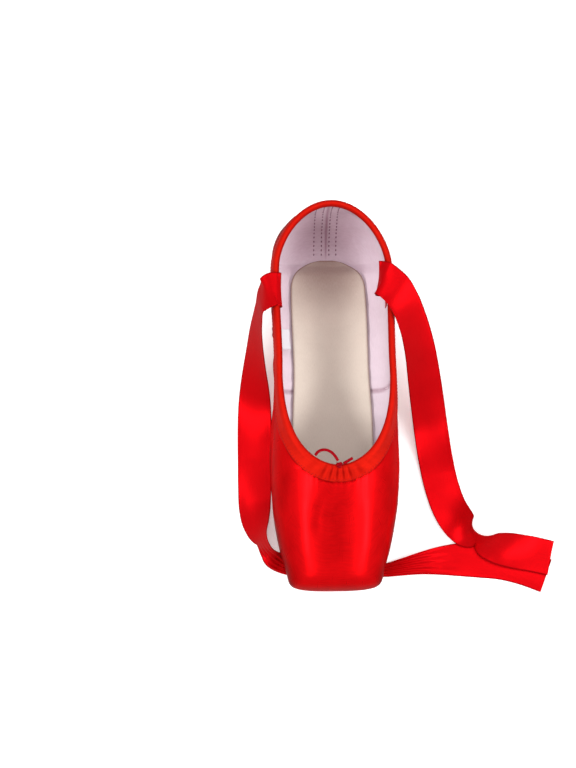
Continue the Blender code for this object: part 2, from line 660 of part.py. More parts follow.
def build_ribbon(name, side, seat, table, over_tape, count, finish):
    """A thin strip: rows across it, set square to its route."""
    free = np.array(table) * np.array([0.001, 0.001, 0.001, 1.0, 1.0, 1.0, 1.0])
    route = smooth_route(np.concatenate((seat_rows(side, seat, over_tape), free)), count)
    middle, across = route[:, :3], route[:, 3:6]
    half = RIBBON_WIDTH / 2 * np.clip(route[:, 6:], 0.0, 1.0)
    way = np.gradient(middle, axis=0)
    way /= np.linalg.norm(way, axis=1, keepdims=True)
    across = across - np.sum(across * way, axis=1, keepdims=True) * way
    span = across / np.linalg.norm(across, axis=1, keepdims=True) * half
    face = np.cross(way, span)
    face *= RIBBON_THICKNESS / 2 / np.linalg.norm(face, axis=1, keepdims=True)
    lowest = np.abs(span[:, 2]) + np.abs(face[:, 2]) + FLOOR_CLEARANCE
    middle[:, 2] = np.maximum(middle[:, 2], lowest)
    near, far = middle - span, middle + span
    loops = np.stack((near - face, far - face, far + face, near + face), axis=1)
    loft(name, loops, finish, closed=True, half=False)


def build_string(name, points, finish):
    """A cord on a smooth curve, closed by its caps."""
    route = smooth_route(np.array(points) * 0.001, max(6, 2 * len(points)))
    shape = bpy.data.curves.new(name, "CURVE")
    shape.dimensions = "3D"
    shape.bevel_depth = STRING_DIAMETER / 2
    shape.bevel_resolution = 2
    shape.use_fill_caps = True
    spline = shape.splines.new("POLY")
    spline.points.add(len(route) - 1)
    for point, place in zip(spline.points, route):
        point.co = (*place, 1.0)
    shape.materials.append(finish)
    made = bpy.data.objects.new(name, shape)
    made.location = knot_place()
    shoe.objects.link(made)


def knot_place():
    """The knot lies on the tape at the middle of the throat, a little back from its edge."""
    return (0.0, THROAT + KNOT_BACK, INSTEP_HEIGHT + 2 * GAP + TAPE_THICKNESS + KNOT_SIZE[2] / 2)


# Columns: across, along, up. Millimetres from the middle of the knot
LOOP_ROUTE = (
    (-14.3, 6.4, -1.0), (-13.6, 7.4, -0.2), (-12.0, 8.6, 0.3), (-9.6, 9.2, 0.7), (-7.0, 8.8, 0.9),
    (-4.8, 7.6, 0.9), (-3.0, 5.8, 0.7), (-1.6, 3.8, 0.5), (-0.8, 2.5, 0.3),
)
END_ROUTE = ((2.5, 0.8, -0.1), (4.2, 1.8, -0.3), (6.2, 3.0, -0.5), (8.2, 4.2, -0.7))


def build_knot(finish):
    mesh = bpy.data.meshes.new("drawstring_knot")
    ball = bmesh.new()
    bmesh.ops.create_uvsphere(ball, u_segments=16, v_segments=10, radius=0.5)
    bmesh.ops.scale(ball, vec=KNOT_SIZE, verts=ball.verts)
    ball.to_mesh(mesh)
    ball.free()
    mesh.materials.append(finish)
    mesh.shade_smooth()
    made = bpy.data.objects.new("drawstring_knot", mesh)
    made.location = knot_place()
    shoe.objects.link(made)


build_upper()
build_binding()
build_outsole()
build_insole()
cord = material("drawstring_cord", (0.30, 0.010, 0.020), 0.7)
build_string("drawstring_loop", LOOP_ROUTE, cord)
build_string("drawstring_end", END_ROUTE, cord)
build_knot(cord)
ribbon = material("ribbon_satin", (0.62, 0.005, 0.010), 0.35)
build_ribbon("ribbon_left", -1.0, LEFT_RIBBON_SEAT, LEFT_ROUTE, True, 78, ribbon)
build_ribbon("ribbon_right", 1.0, RIGHT_RIBBON_SEAT, RIGHT_ROUTE, False, 54, ribbon)
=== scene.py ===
"""The looks of a red satin pointe shoe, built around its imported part.

Metres, +Z up, toe towards -Y, heel towards +Y, floor at z = 0, as in the part.
"""

import math

import bpy
import numpy as np
from mathutils import Matrix, Vector


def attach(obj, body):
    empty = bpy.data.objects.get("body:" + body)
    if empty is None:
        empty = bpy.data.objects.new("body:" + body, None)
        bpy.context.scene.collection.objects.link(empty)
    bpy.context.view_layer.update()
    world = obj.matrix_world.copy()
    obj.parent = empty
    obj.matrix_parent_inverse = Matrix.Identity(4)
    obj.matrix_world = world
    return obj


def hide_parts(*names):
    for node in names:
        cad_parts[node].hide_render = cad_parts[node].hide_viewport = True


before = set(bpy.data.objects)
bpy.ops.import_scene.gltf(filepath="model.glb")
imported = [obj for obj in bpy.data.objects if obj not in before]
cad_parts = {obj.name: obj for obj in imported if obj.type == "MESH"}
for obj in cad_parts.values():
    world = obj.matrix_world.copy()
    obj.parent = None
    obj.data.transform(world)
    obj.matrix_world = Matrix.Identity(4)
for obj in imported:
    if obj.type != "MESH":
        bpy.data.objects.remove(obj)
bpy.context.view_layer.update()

# The satin upper: one layer of red satin pulled over the last, pleated under the toe and at the
# heel, and pasted to the box. Two side seams join the vamp to the quarters, and a third closes the
# back. It is lasted wet, so its folds have dried where they were pulled.
LENGTH = 0.2408
BALL_WIDTH = 0.0798
INSTEP_HEIGHT = 0.0711
HEEL_HEIGHT = 0.0586
VAMP_LENGTH = 0.070
THROAT_DEPTH = 0.062
ARCH_RISE = 0.0186
PLATFORM_LEAN = 0.0039
PLATFORM_HEIGHT = 0.020
TOE_REACH = 0.0250
HEEL_REACH = 0.0354
HEEL_TOP_REACH = 0.0450
WALL = 0.0016
BOX_WALL = 0.0030
BOX_LENGTH = 0.0600
BOX_FADE = 0.0250
SATIN = 0.0006  # the outer skin, satin and its paste
GAP = 0.0003
SOLE_SEAT = 0.0005
SOLE_FRONT = 0.0269
SOLE_REAR = 0.0404
SOLE_WIDTH = 0.0460
SOLE_THICKNESS = 0.0025
SOLE_OVERLAP = 0.0060
SOLE_ROUNDING = (0.45, 0.30)
ROUNDING_POWER = 2.2
FLAT_DEPTH = 0.0005
HEEL_FLAT_DEPTH = 0.0011
HEEL_FLAT_REAR = 0.0190
HEEL_FLAT_LENGTH = 0.0110
TOE_POWER = 12.0
HEEL_POWER = 2.6
HEEL_TOP_POWER = 2.0
POWER_BLEND = 0.010
COLLAR_PULL = 0.962
THROAT = VAMP_LENGTH - LENGTH / 2
TOE_TURN = TOE_REACH - LENGTH / 2
SOLE_START = SOLE_FRONT - LENGTH / 2
SOLE_END = LENGTH / 2 - SOLE_REAR
TOE_PIVOT = THROAT + 0.0154
HEEL_PIVOT = SOLE_END - 0.0200
RAY_HEIGHT = 0.030

# Columns: station, half width, widest height and the powers below and above it, as in the part
SECTIONS = np.array([
    (-0.500, 0.710, 0.260, 3.0, 2.7), (-0.457, 0.749, 0.272, 3.0, 2.7), (-0.397, 0.850, 0.295, 3.1, 2.7),
    (-0.336, 0.925, 0.350, 3.1, 2.6), (-0.277, 0.975, 0.410, 3.1, 2.5), (-0.190, 1.000, 0.480, 3.0, 2.5),
    (-0.120, 0.983, 0.545, 3.0, 2.5), (0.000, 0.935, 0.647, 3.0, 2.7), (0.090, 0.920, 0.650, 3.0, 3.0),
    (0.190, 0.928, 0.640, 3.0, 3.0), (0.270, 0.935, 0.600, 3.1, 3.0), (0.335, 0.925, 0.555, 3.2, 2.7),
    (0.395, 0.893, 0.505, 3.2, 2.3), (0.500, 0.828, 0.480, 3.2, 2.0),
])
# Columns: share of the vamp's length, height of its ridge as a share of the instep's
RIDGE = np.array([(-0.10, 0.484), (0.0, 0.527), (0.216, 0.632), (0.504, 0.762), (0.706, 0.858),
                  (0.827, 0.918), (0.941, 0.972), (1.0, 1.0)])
# Columns: station, height of the collar between the heel's, 0, and the instep's, 1
COLLAR = np.array([(-0.330, 1.14), (-0.209, 1.000), (0.055, 0.640), (0.143, 0.420), (0.210, 0.150),
                   (0.275, -0.110), (0.340, -0.260), (0.403, -0.270), (0.450, -0.180), (0.500, 0.060)])
# Columns: share of the outsole's length, underside, thickness and half width as shares
SOLE = np.array([
    (0.000, 0.000, 0.62, 1.00), (0.078, 0.000, 1.00, 1.00), (0.124, 0.110, 1.00, 1.00),
    (0.161, 0.260, 1.00, 0.99), (0.234, 0.510, 1.00, 0.96), (0.308, 0.690, 1.00, 0.91),
    (0.420, 0.890, 1.00, 0.80), (0.495, 0.985, 1.00, 0.75), (0.568, 0.985, 1.00, 0.73),
    (0.664, 0.890, 1.00, 0.74), (0.765, 0.710, 1.00, 0.77), (0.854, 0.495, 1.00, 0.80),
    (0.952, 0.290, 0.90, 0.80), (1.000, 0.225, 0.75, 0.80),
])
# Columns: height as a share of the heel's, how far the back stands in as a share of the length
HEEL_BACK = np.array([(0.0, 0.0183), (0.17, 0.0162), (0.32, 0.0058), (0.46, 0.0), (0.60, 0.0),
                      (0.82, 0.0033), (1.0, 0.0050)])

COLUMNS = 236  # from the middle of the toe to the middle of the heel
ROWS = 150  # from the underside's opening to the collar
TURN_WEIGHT = 0.016


def smooth_line(knots, values):
    """A cubic through the knots that keeps rising or falling as they do, level beyond both ends."""
    span = np.diff(knots)
    slope = np.diff(values) / span
    same = slope[:-1] * slope[1:] > 0
    inner = np.where(same, 2 * slope[:-1] * slope[1:] / np.where(same, slope[:-1] + slope[1:], 1.0), 0.0)
    tangent = np.concatenate((slope[:1], inner, slope[-1:]))

    def at(place):
        place = np.clip(place, knots[0], knots[-1])
        i = np.clip(np.searchsorted(knots, place, side="right") - 1, 0, len(span) - 1)
        t = (place - knots[i]) / span[i]
        rise = span[i] * ((1 - t) ** 2 * t * tangent[i] - t * t * (1 - t) * tangent[i + 1])
        return values[i] + (values[i + 1] - values[i]) * t * t * (3 - 2 * t) + rise

    return at


def ease(share):
    """0 below 0, 1 above 1, and 3s^2 - 2s^3 between."""
    share = np.clip(share, 0.0, 1.0)
    return share * share * (3.0 - 2.0 * share)


half_width = smooth_line(SECTIONS[:, 0] * LENGTH, SECTIONS[:, 1] * BALL_WIDTH / 2)
middle_line = smooth_line(SECTIONS[:, 0] * LENGTH, SECTIONS[:, 2] * INSTEP_HEIGHT)
low_power = smooth_line(SECTIONS[:, 0] * LENGTH, SECTIONS[:, 3])
high_power = smooth_line(SECTIONS[:, 0] * LENGTH, SECTIONS[:, 4])
ridge_line = smooth_line(RIDGE[:, 0] * VAMP_LENGTH - LENGTH / 2, RIDGE[:, 1] * INSTEP_HEIGHT)
throat_share = np.clip((COLLAR[2, 0] - COLLAR[:, 0]) / (COLLAR[2, 0] - COLLAR[1, 0]), 0.0, 1.0)
collar_line = smooth_line(
    COLLAR[:, 0] * LENGTH + (THROAT - COLLAR[1, 0] * LENGTH) * throat_share,
    HEEL_HEIGHT + COLLAR[:, 1] * (INSTEP_HEIGHT - HEEL_HEIGHT),
)
sole_stations = SOLE_START + SOLE[:, 0] * (SOLE_END - SOLE_START)
sole_underside = SOLE[:, 1] * ARCH_RISE - FLAT_DEPTH
sole_thickness = smooth_line(sole_stations, SOLE[:, 2] * SOLE_THICKNESS)
sole_width = smooth_line(sole_stations, SOLE[:, 3] * SOLE_WIDTH / 2)
sole_top = sole_underside + SOLE[:, 2] * SOLE_THICKNESS + SOLE_SEAT
heel_flat = (LENGTH / 2 - HEEL_FLAT_REAR - HEEL_FLAT_LENGTH, LENGTH / 2 - HEEL_FLAT_REAR)
bottom_line = smooth_line(
    np.concatenate(([-0.52 * LENGTH], sole_stations, heel_flat)),
    np.concatenate(([sole_top[0]], sole_top, [-HEEL_FLAT_DEPTH, -HEEL_FLAT_DEPTH])),
)
back_line = smooth_line(HEEL_BACK[:, 0] * HEEL_HEIGHT, LENGTH / 2 - HEEL_BACK[:, 1] * LENGTH)


def excess(x, y, z):
    """How far outside the last a point is: |x/w|^p + |rise|^p + toe^12 + heel^q - 1, 0 on it, where
    q goes from 2.6 on the floor to 2 at the collar."""
    middle = middle_line(y)
    back = np.clip((THROAT + THROAT_DEPTH - y) / THROAT_DEPTH, 0.0, 1.0)
    plan = COLLAR_PULL * np.sqrt(1.0 - back * back)
    share = (1.0 - plan ** high_power(y)) ** (1.0 / high_power(y))
    top = np.where(y <= THROAT, ridge_line(y), middle + (collar_line(y) - middle) / share)
    rise = np.minimum(np.where(z > middle, (z - middle) / (top - middle),
                               (middle - z) / (middle - bottom_line(y))), 4.0)
    power = low_power(y) + (high_power(y) - low_power(y)) * ease(0.5 + (z - middle) / POWER_BLEND / 2)
    front = -LENGTH / 2 + PLATFORM_LEAN * np.clip((PLATFORM_HEIGHT - z) / PLATFORM_HEIGHT, 0.0, 1.0) ** 1.5
    toe = np.clip((TOE_TURN - y) / (TOE_TURN - front), 0.0, 4.0)
    up = ease(z / HEEL_HEIGHT)
    turn = LENGTH / 2 - HEEL_REACH - (HEEL_TOP_REACH - HEEL_REACH) * up
    heel = np.clip((y - turn) / (back_line(z) - turn), 0.0, 4.0)
    heel_power = HEEL_POWER + (HEEL_TOP_POWER - HEEL_POWER) * up
    across = np.minimum(np.abs(x) / half_width(y), 4.0)
    return across**power + rise**power + toe**TOE_POWER + heel**heel_power - 1.0


def bisect(function, low, high, steps=34):
    """Where an increasing function passes 0 between two arrays, by halving."""
    low, high = low.copy(), high.copy()
    for _ in range(steps):
        middle = (low + high) / 2
        under = function(middle) < 0
        low, high = np.where(under, middle, low), np.where(under, high, middle)
    return (low + high) / 2


def outward(points, step=0.00002):
    """The last's unit normals: the slope of its function along x, y and z, made one long."""
    x, y, z = np.moveaxis(points, -1, 0)
    slope = np.stack((excess(x + step, y, z) - excess(x - step, y, z),
                      excess(x, y + step, z) - excess(x, y - step, z),
                      excess(x, y, z + step) - excess(x, y, z - step)), axis=-1)
    return slope / np.linalg.norm(slope, axis=-1, keepdims=True)


def spoke(place):
    """Centre and direction of an upright plane: 0 to 1 fans round the toe, 1 to 2 runs along the
    shoe and 2 to 3 fans round the heel."""
    turn = np.radians(90.0) * (np.minimum(place - 1.0, 0.0) + np.maximum(place - 2.0, 0.0))
    centre = TOE_PIVOT + np.clip(place - 1.0, 0.0, 1.0) * (HEEL_PIVOT - TOE_PIVOT)
    return centre, np.cos(turn), np.sin(turn)


def on_last(place, lift):
    """The last's surface along rays: place picks the plane and lift is the angle above level."""
    centre, east, north = spoke(place)
    level, up = np.cos(lift), np.sin(lift)
    start = np.zeros(np.broadcast(place, lift).shape)
    reach = bisect(lambda r: excess(r * level * east, centre + r * level * north, RAY_HEIGHT + r * up),
                   start, start + 0.2)
    out = reach * level
    return np.stack((out * east, centre + out * north, RAY_HEIGHT + reach * up), axis=-1)


def walked(points, turn_weight=0.0):
    """Length along each row of points, each turn adding its angle times the weight."""
    step = np.diff(points, axis=-2)
    size = np.linalg.norm(step, axis=-1)
    unit = step / np.maximum(size, 1e-9)[..., None]
    turn = np.arccos(np.clip(np.sum(unit[..., 1:, :] * unit[..., :-1, :], axis=-1), -1.0, 1.0))
    turn = np.concatenate((turn[..., :1], turn), axis=-1)
    total = np.cumsum(size + turn_weight * turn, axis=-1)
    return np.concatenate((np.zeros_like(total[..., :1]), total), axis=-1)


def read_rows(wanted, known, values):
    """Each row's values where its known numbers reach the wanted ones."""
    return np.stack([np.interp(w, k, v) for w, k, v in zip(wanted, known, values)])


def sole_half(y):
    """The outsole's half width: its table's, times a round end (1 - over^2.2)^(1/2.2) at each end."""
    front, rear = SOLE_WIDTH * SOLE_ROUNDING[0], SOLE_WIDTH * SOLE_ROUNDING[1]
    over = np.maximum(np.maximum((SOLE_START + front - y) / front, (y - SOLE_END + rear) / rear), 0.0)
    inside = np.maximum(0.0, 1.0 - over**ROUNDING_POWER) ** (1 / ROUNDING_POWER)
    return sole_width(y) * (inside - np.maximum(0.0, over - 1.0))


def first_crossing(angles, values):
    """The angle at which each row of values first rises through 0."""
    i = np.maximum(np.argmax(values > 0, axis=1), 1)
    row = np.arange(len(values))
    low, high = values[row, i - 1], values[row, i]
    return angles[i - 1] + np.clip(-low / (high - low), 0.0, 1.0) * (angles[i] - angles[i - 1])


def wall_angles(places):
    """Lift angles from the underside's opening to the collar, 200 to each plane."""
    centre, east, north = spoke(places)
    opening = bisect(lambda out: out * east - (sole_half(centre + out * north) - SOLE_OVERLAP),
                     np.zeros_like(places), np.full_like(places, 0.2))
    down, up = np.radians(np.linspace(-86.0, 0.0, 200)), np.radians(np.linspace(0.0, 86.0, 300))
    low, high = on_last(places[:, None], down[None, :]), on_last(places[:, None], up[None, :])
    start = first_crossing(down, np.hypot(low[..., 0], low[..., 1] - centre[:, None]) - opening[:, None])
    end = first_crossing(up, high[..., 2] - collar_line(high[..., 1]))
    return start[:, None] + (end - start)[:, None] * np.linspace(0.0, 1.0, 200)[None, :]


def wall_thickness(y):
    """The wall's thickness: a plain wall behind, eased up to the box's over its rear edge."""
    return WALL + (BOX_WALL - WALL) * ease((BOX_LENGTH - LENGTH / 2 - y) / BOX_FADE)


dense = np.linspace(0.0, 3.0, 1201)
outline_walk = walked(on_last(dense, np.zeros_like(dense)), TURN_WEIGHT)
places = np.interp(np.linspace(0.0, outline_walk[-1], COLUMNS), outline_walk, dense)
angles = wall_angles(places)
traces = on_last(places[:, None], angles)
trace_lengths = walked(traces)


def at_depth(depth):
    """Points on the last at distances down the wall from the collar's edge, one row to each plane."""
    return on_last(places[:, None], read_rows(trace_lengths[:, -1:] - depth, trace_lengths, angles))


def both_sides(half):
    """A full ring from a half one: down the +X side and back up the -X side, its x turned round."""
    other = half[-2:0:-1].copy()
    if half.shape[-1] == 3:
        other[..., 0] *= -1.0
    return np.concatenate((half, other))


def make_piece(name, grid, ring=False, tube=False, finish=None, ends=False):
    """A mesh over a grid of points (along, across): every point joins the next one along and the
    next one across. A ring joins its last row to its first, a tube its last column to its first.
    Ends are closed by one face. The uv map holds lengths along both ways, in metres."""
    along, across, _ = grid.shape
    rows, columns = (along if ring else along - 1), (across if tube else across - 1)
    i, j = np.meshgrid(np.arange(rows), np.arange(columns), indexing="ij")
    i2, j2 = (i + 1) % along, (j + 1) % across
    quads = np.stack((i * across + j, i2 * across + j, i2 * across + j2, i * across + j2), axis=-1)
    quads = quads.reshape(-1, 4)
    points = grid.reshape(-1, 3)
    a, b, c, d = (points[quads[:, k]] for k in range(4))
    centre = points.mean(axis=0)
    volume = np.sum((a + c - 2 * centre) * np.cross(c - a, d - b))
    flip = volume < 0
    if flip:
        quads = quads[:, ::-1]
    faces = quads.tolist()
    if ends:
        first, last = list(range(across)), list(range((along - 1) * across, along * across))
        faces += [first, last[::-1]] if flip else [first[::-1], last]
    mesh = bpy.data.meshes.new(name)
    mesh.from_pydata(points.tolist(), [], faces)
    u = np.concatenate((walked(grid.mean(axis=1)[None])[0], [0.0]))
    v = np.concatenate((walked(grid[along // 3][None])[0], [0.0]))
    u[-1], v[-1] = u[-2] + u[1], v[-2] + v[1]
    corner_u = np.stack((u[i], u[i + 1], u[i + 1], u[i]), axis=-1).reshape(-1, 4)
    corner_v = np.stack((v[j], v[j], v[j + 1], v[j + 1]), axis=-1).reshape(-1, 4)
    if flip:
        corner_u, corner_v = corner_u[:, ::-1], corner_v[:, ::-1]
    layer = mesh.uv_layers.new(name="cloth")
    flat = np.zeros((len(mesh.loops), 2), dtype=np.float32)
    flat[: corner_u.size, 0], flat[: corner_u.size, 1] = corner_u.ravel(), corner_v.ravel()
    layer.data.foreach_set("uv", flat.ravel())
    mesh.polygons.foreach_set("use_smooth", np.ones(len(mesh.polygons), dtype=bool))
    if finish:
        mesh.materials.append(finish)
    made = bpy.data.objects.new(name, mesh)
    bpy.context.scene.collection.objects.link(made)
    return made


def mark(piece, name, values):
    """Keeps one number for each point of a piece, for its material to read."""
    layer = piece.data.attributes.new(name, "FLOAT", "POINT")
    layer.data.foreach_set("value", np.ascontiguousarray(values, dtype=np.float32).ravel())


def cloth(name, colour, shade, roughness, threads, streak, bump, lustre=0.0, gloss=0.5, tint=None,
          mottle=0.25, mottle_size=0.010):
    """A woven finish. Colour goes to shade by soft mottling, by uneven threads and where a piece is
    marked 'shade'; threads is the two thread spacings in metres and bump the height of the weave.
    Lustre is the share of light that bare filaments throw back in their own colour."""
    made = bpy.data.materials.new(name)
    made.use_nodes = True
    tree = made.node_tree
    shader = tree.nodes["Principled BSDF"]

    def add(kind, **settings):
        node = tree.nodes.new(kind)
        for key, value in settings.items():
            setattr(node, key, value)
        return node

    def math_node(operation, first, second):
        node = add("ShaderNodeMath", operation=operation)
        for socket, value in zip(node.inputs, (first, second)):
            if isinstance(value, (int, float)):
                socket.default_value = value
            else:
                tree.links.new(value, socket)
        return node.outputs[0]

    uv = add("ShaderNodeUVMap", uv_map="cloth").outputs[0]
    place = add("ShaderNodeTexCoord").outputs["Object"]

    def stretched(across_u, across_v, detail=2.0):
        scale = add("ShaderNodeMapping")
        scale.inputs["Scale"].default_value = (1 / across_u, 1 / across_v, 1.0)
        tree.links.new(uv, scale.inputs["Vector"])
        noise = add("ShaderNodeTexNoise")
        noise.inputs["Scale"].default_value = 1.0
        noise.inputs["Detail"].default_value = detail
        tree.links.new(scale.outputs[0], noise.inputs["Vector"])
        return noise.outputs["Fac"]

    cloud = add("ShaderNodeTexNoise")
    cloud.inputs["Scale"].default_value = 1 / mottle_size
    cloud.inputs["Detail"].default_value = 3.0
    tree.links.new(place, cloud.inputs["Vector"])
    warp = stretched(threads[0] * streak, threads[1])
    weft = stretched(threads[0], threads[1] * streak)
    share = math_node("MULTIPLY", math_node("SUBTRACT", cloud.outputs["Fac"], 0.35), mottle * 2)
    share = math_node("ADD", share, math_node("MULTIPLY", math_node("SUBTRACT", warp, 0.5), 0.5 * mottle + 0.25))
    marked = add("ShaderNodeAttribute", attribute_name="shade").outputs["Fac"]
    share = math_node("ADD", share, marked)
    mix = add("ShaderNodeMix", data_type="RGBA")
    mix.clamp_factor = True
    tree.links.new(share, mix.inputs["Factor"])
    colours = [s for s in mix.inputs if s.type == "RGBA"]
    colours[0].default_value = (*colour, 1.0)
    colours[1].default_value = (*shade, 1.0)
    result = [s for s in mix.outputs if s.type == "RGBA"][0]
    tree.links.new(result, shader.inputs["Base Color"])
    rough = math_node("ADD", roughness - 0.04, math_node("MULTIPLY", weft, 0.08))
    tree.links.new(rough, shader.inputs["Roughness"])
    height = math_node("ADD", warp, weft)
    raised = add("ShaderNodeBump")
    raised.inputs["Strength"].default_value = 1.0
    raised.inputs["Distance"].default_value = bump
    tree.links.new(height, raised.inputs["Height"])
    tree.links.new(raised.outputs[0], shader.inputs["Normal"])
    shader.inputs["Metallic"].default_value = lustre
    shader.inputs["Specular IOR Level"].default_value = gloss
    if tint:
        shader.inputs["Specular Tint"].default_value = (*tint, 1.0)
    return made


def near_route(points, route, spread, plane):
    """A soft line's weight: e^-(d/spread)^2 for the distance d to a route in one plane, faded in
    over the route's first third and out over its last third."""
    flat = points[..., plane]
    route = np.asarray(route, dtype=float)
    start, step = route[:-1], np.diff(route, axis=0)
    size = np.linalg.norm(step, axis=1)
    before = np.concatenate(([0.0], np.cumsum(size)))
    best = np.full(flat.shape[:-1], 1e9)
    where = np.zeros(flat.shape[:-1])
    for s, v, length, walked_before in zip(start, step, size, before):
        share = np.clip(((flat - s) @ v) / length**2, 0.0, 1.0)
        gap = np.linalg.norm(flat - s - share[..., None] * v, axis=-1)
        closer = gap < best
        best = np.where(closer, gap, best)
        where = np.where(closer, (walked_before + share * length) / before[-1], where)
    fade = ease(where / 0.30) * ease((1.0 - where) / 0.35)
    return np.exp(-((best / spread) ** 2)) * fade


# Folds seen from the side. Columns: side (+1, -1 or 0 for both), height pushed in (-) or out (+),
# spread, and the route as (along, up) pairs
SIDE_FOLDS = (
    (0, -0.0009, 0.0030, ((0.030, 0.050), (0.026, 0.038), (0.018, 0.028), (0.006, 0.021))),
    (0, 0.0007, 0.0032, ((0.024, 0.052), (0.018, 0.040), (0.008, 0.030), (-0.006, 0.024))),
    (0, -0.0007, 0.0028, ((0.014, 0.050), (0.004, 0.038), (-0.010, 0.029), (-0.026, 0.024))),
    (0, 0.0006, 0.0040, ((-0.004, 0.054), (-0.020, 0.042), (-0.038, 0.032), (-0.056, 0.026))),
    (1, -0.0006, 0.0030, ((-0.020, 0.050), (-0.036, 0.038), (-0.054, 0.029), (-0.074, 0.024))),
    (-1, -0.0006, 0.0034, ((-0.024, 0.048), (-0.042, 0.035), (-0.062, 0.027), (-0.082, 0.021))),
    (0, -0.0008, 0.0026, ((0.052, 0.046), (0.060, 0.037), (0.070, 0.030), (0.082, 0.024))),
    (0, 0.0006, 0.0030, ((0.046, 0.040), (0.056, 0.031), (0.068, 0.024), (0.082, 0.018))),
    (0, -0.0007, 0.0024, ((0.046, 0.032), (0.056, 0.025), (0.068, 0.018), (0.080, 0.012))),
)
# Folds that fan out from the foot of the back seam. Columns: side, height, spread, route
HEEL_FOLDS = (
    (0, -0.0008, 0.0030, ((0.119, 0.021), (0.112, 0.027), (0.103, 0.034), (0.090, 0.042))),
    (0, 0.0006, 0.0034, ((0.118, 0.015), (0.109, 0.020), (0.098, 0.026), (0.084, 0.034))),
    (0, -0.0007, 0.0028, ((0.117, 0.010), (0.107, 0.013), (0.095, 0.017), (0.080, 0.024))),
    (1, -0.0005, 0.0026, ((0.120, 0.028), (0.115, 0.035), (0.108, 0.042), (0.099, 0.049))),
    (-1, -0.0005, 0.0028, ((0.120, 0.026), (0.114, 0.033), (0.106, 0.040), (0.096, 0.047))),
)
# Soft hollows and ridges on the vamp, seen from above. Columns: height, spread, route (across, along)
VAMP_FOLDS = (
    (-0.00035, 0.0060, ((0.001, -0.060), (-0.002, -0.078), (-0.001, -0.098), (0.001, -0.116))),
    (0.00035, 0.0050, ((0.017, -0.062), (0.019, -0.080), (0.018, -0.098), (0.016, -0.116))),
    (0.00035, 0.0050, ((-0.020, -0.058), (-0.022, -0.078), (-0.020, -0.098), (-0.018, -0.116))),
    (-0.00030, 0.0030, ((-0.010, -0.066), (-0.013, -0.080), (-0.012, -0.094))),
    (-0.00030, 0.0030, ((0.029, -0.048), (0.033, -0.064), (0.032, -0.082))),
    (-0.00030, 0.0030, ((-0.030, -0.046), (-0.034, -0.062), (-0.033, -0.080))),
)
SEAM_STATION = 0.0362  # where the vamp meets the quarters, up each side
SEAM_ROWS = 0.0040  # between its two rows of stitches
TOE_PLEATS = 17
PLEAT_HEIGHT = 0.00055
PUCKER = 0.00012  # gathers in the satin under the tape, round the throat
DEEPEST = 0.00050  # no trough goes through the satin's own thickness


def creases(points, down):
    """How far the satin stands out from the last: the sum of its soft folds, its seams, the pleats
    h |cos(n a)| round the outsole's front end, and puckers that fade down from the tape. Troughs
    level out as -d tanh(-lift / d), so that they stay in the cloth."""
    x, y, z = np.moveaxis(points, -1, 0)
    lift = np.zeros(x.shape)
    for side, height, spread, route in SIDE_FOLDS + HEEL_FOLDS:
        weight = near_route(points, route, spread, [1, 2])
        lift += height * weight * (1.0 if side == 0 else ease(0.5 + side * x / 0.02))
    facing_up = ease((z - 0.022) / 0.010)
    for height, spread, route in VAMP_FOLDS:
        lift += height * near_route(points, route, spread, [0, 1]) * facing_up
    along_seam = y - SEAM_STATION
    lift += 0.00035 * ease(0.5 + along_seam / 0.0006) * ease((0.010 - along_seam) / 0.008)
    lift -= 0.0005 * np.exp(-((along_seam / 0.0005) ** 2))
    lift -= 0.0005 * np.exp(-(((along_seam + 0.0032) / 0.0018) ** 2)) * ease((0.050 - z) / 0.02)
    behind = ease((y - 0.100) / 0.008)
    lift -= 0.00055 * np.exp(-((x / 0.0006) ** 2)) * behind
    lift += 0.00030 * np.exp(-(((np.abs(x) - 0.0016) / 0.0009) ** 2)) * behind
    away_x, away_y = x, y - (SOLE_START + 0.012)
    reach = np.hypot(away_x, away_y)
    turn = np.arctan2(away_x, -away_y)
    under = ease((0.011 - z) / 0.006) * ease((reach - 0.008) / 0.006) * ease((0.041 - reach) / 0.012)
    ahead = ease((1.9 - np.abs(turn)) / 0.5)
    wave = np.abs(np.cos(TOE_PLEATS * turn / 2 + 0.35 * np.sin(3 * turn)))
    lift += PLEAT_HEIGHT * (wave - 0.5) * under * ahead
    heel_away = y - (SOLE_END - 0.004)
    heel_turn = np.arctan2(x, heel_away)
    heel_reach = np.hypot(x, heel_away)
    heel_under = ease((0.013 - z) / 0.006) * ease((heel_reach - 0.010) / 0.006) * ease((0.040 - heel_reach) / 0.010)
    lift += 0.0005 * (np.abs(np.cos(6.5 * heel_turn)) - 0.5) * heel_under * ease((1.6 - np.abs(heel_turn)) / 0.4)
    throat = ease((-0.020 - y) / 0.025)
    gather = np.sin(x * 1450 + 1.3 * np.sin(x * 410)) * np.exp(-np.maximum(down - 0.007, 0.0) / 0.0035)
    lift += PUCKER * gather * throat * ease((0.0300 - np.abs(x)) / 0.012)
    return np.where(lift < 0.0, -DEEPEST * np.tanh(-lift / DEEPEST), lift)


rows_weighted = walked(traces, TURN_WEIGHT)
row_angles = read_rows(rows_weighted[:, -1:] * np.linspace(0.0, 1.0, ROWS), rows_weighted, angles)
last_half = on_last(places[:, None], row_angles)
wall_depth = both_sides((walked(last_half)[:, -1:] - walked(last_half))[..., None])[..., 0]
last_ring = both_sides(last_half)
last_normal = both_sides(outward(last_half))
lift = creases(last_ring, wall_depth)
satin_out = last_ring + last_normal * lift[..., None]
satin_out[..., 2] = np.maximum(satin_out[..., 2], 0.0)
picked = np.unique(np.linspace(0, ROWS - 1, 24).astype(int))
satin_in = (last_ring - last_normal * SATIN)[:, picked]
satin_in[..., 2] = np.maximum(satin_in[..., 2], SATIN)
satin_grid = np.concatenate((satin_out, satin_in[:, ::-1]), axis=1)

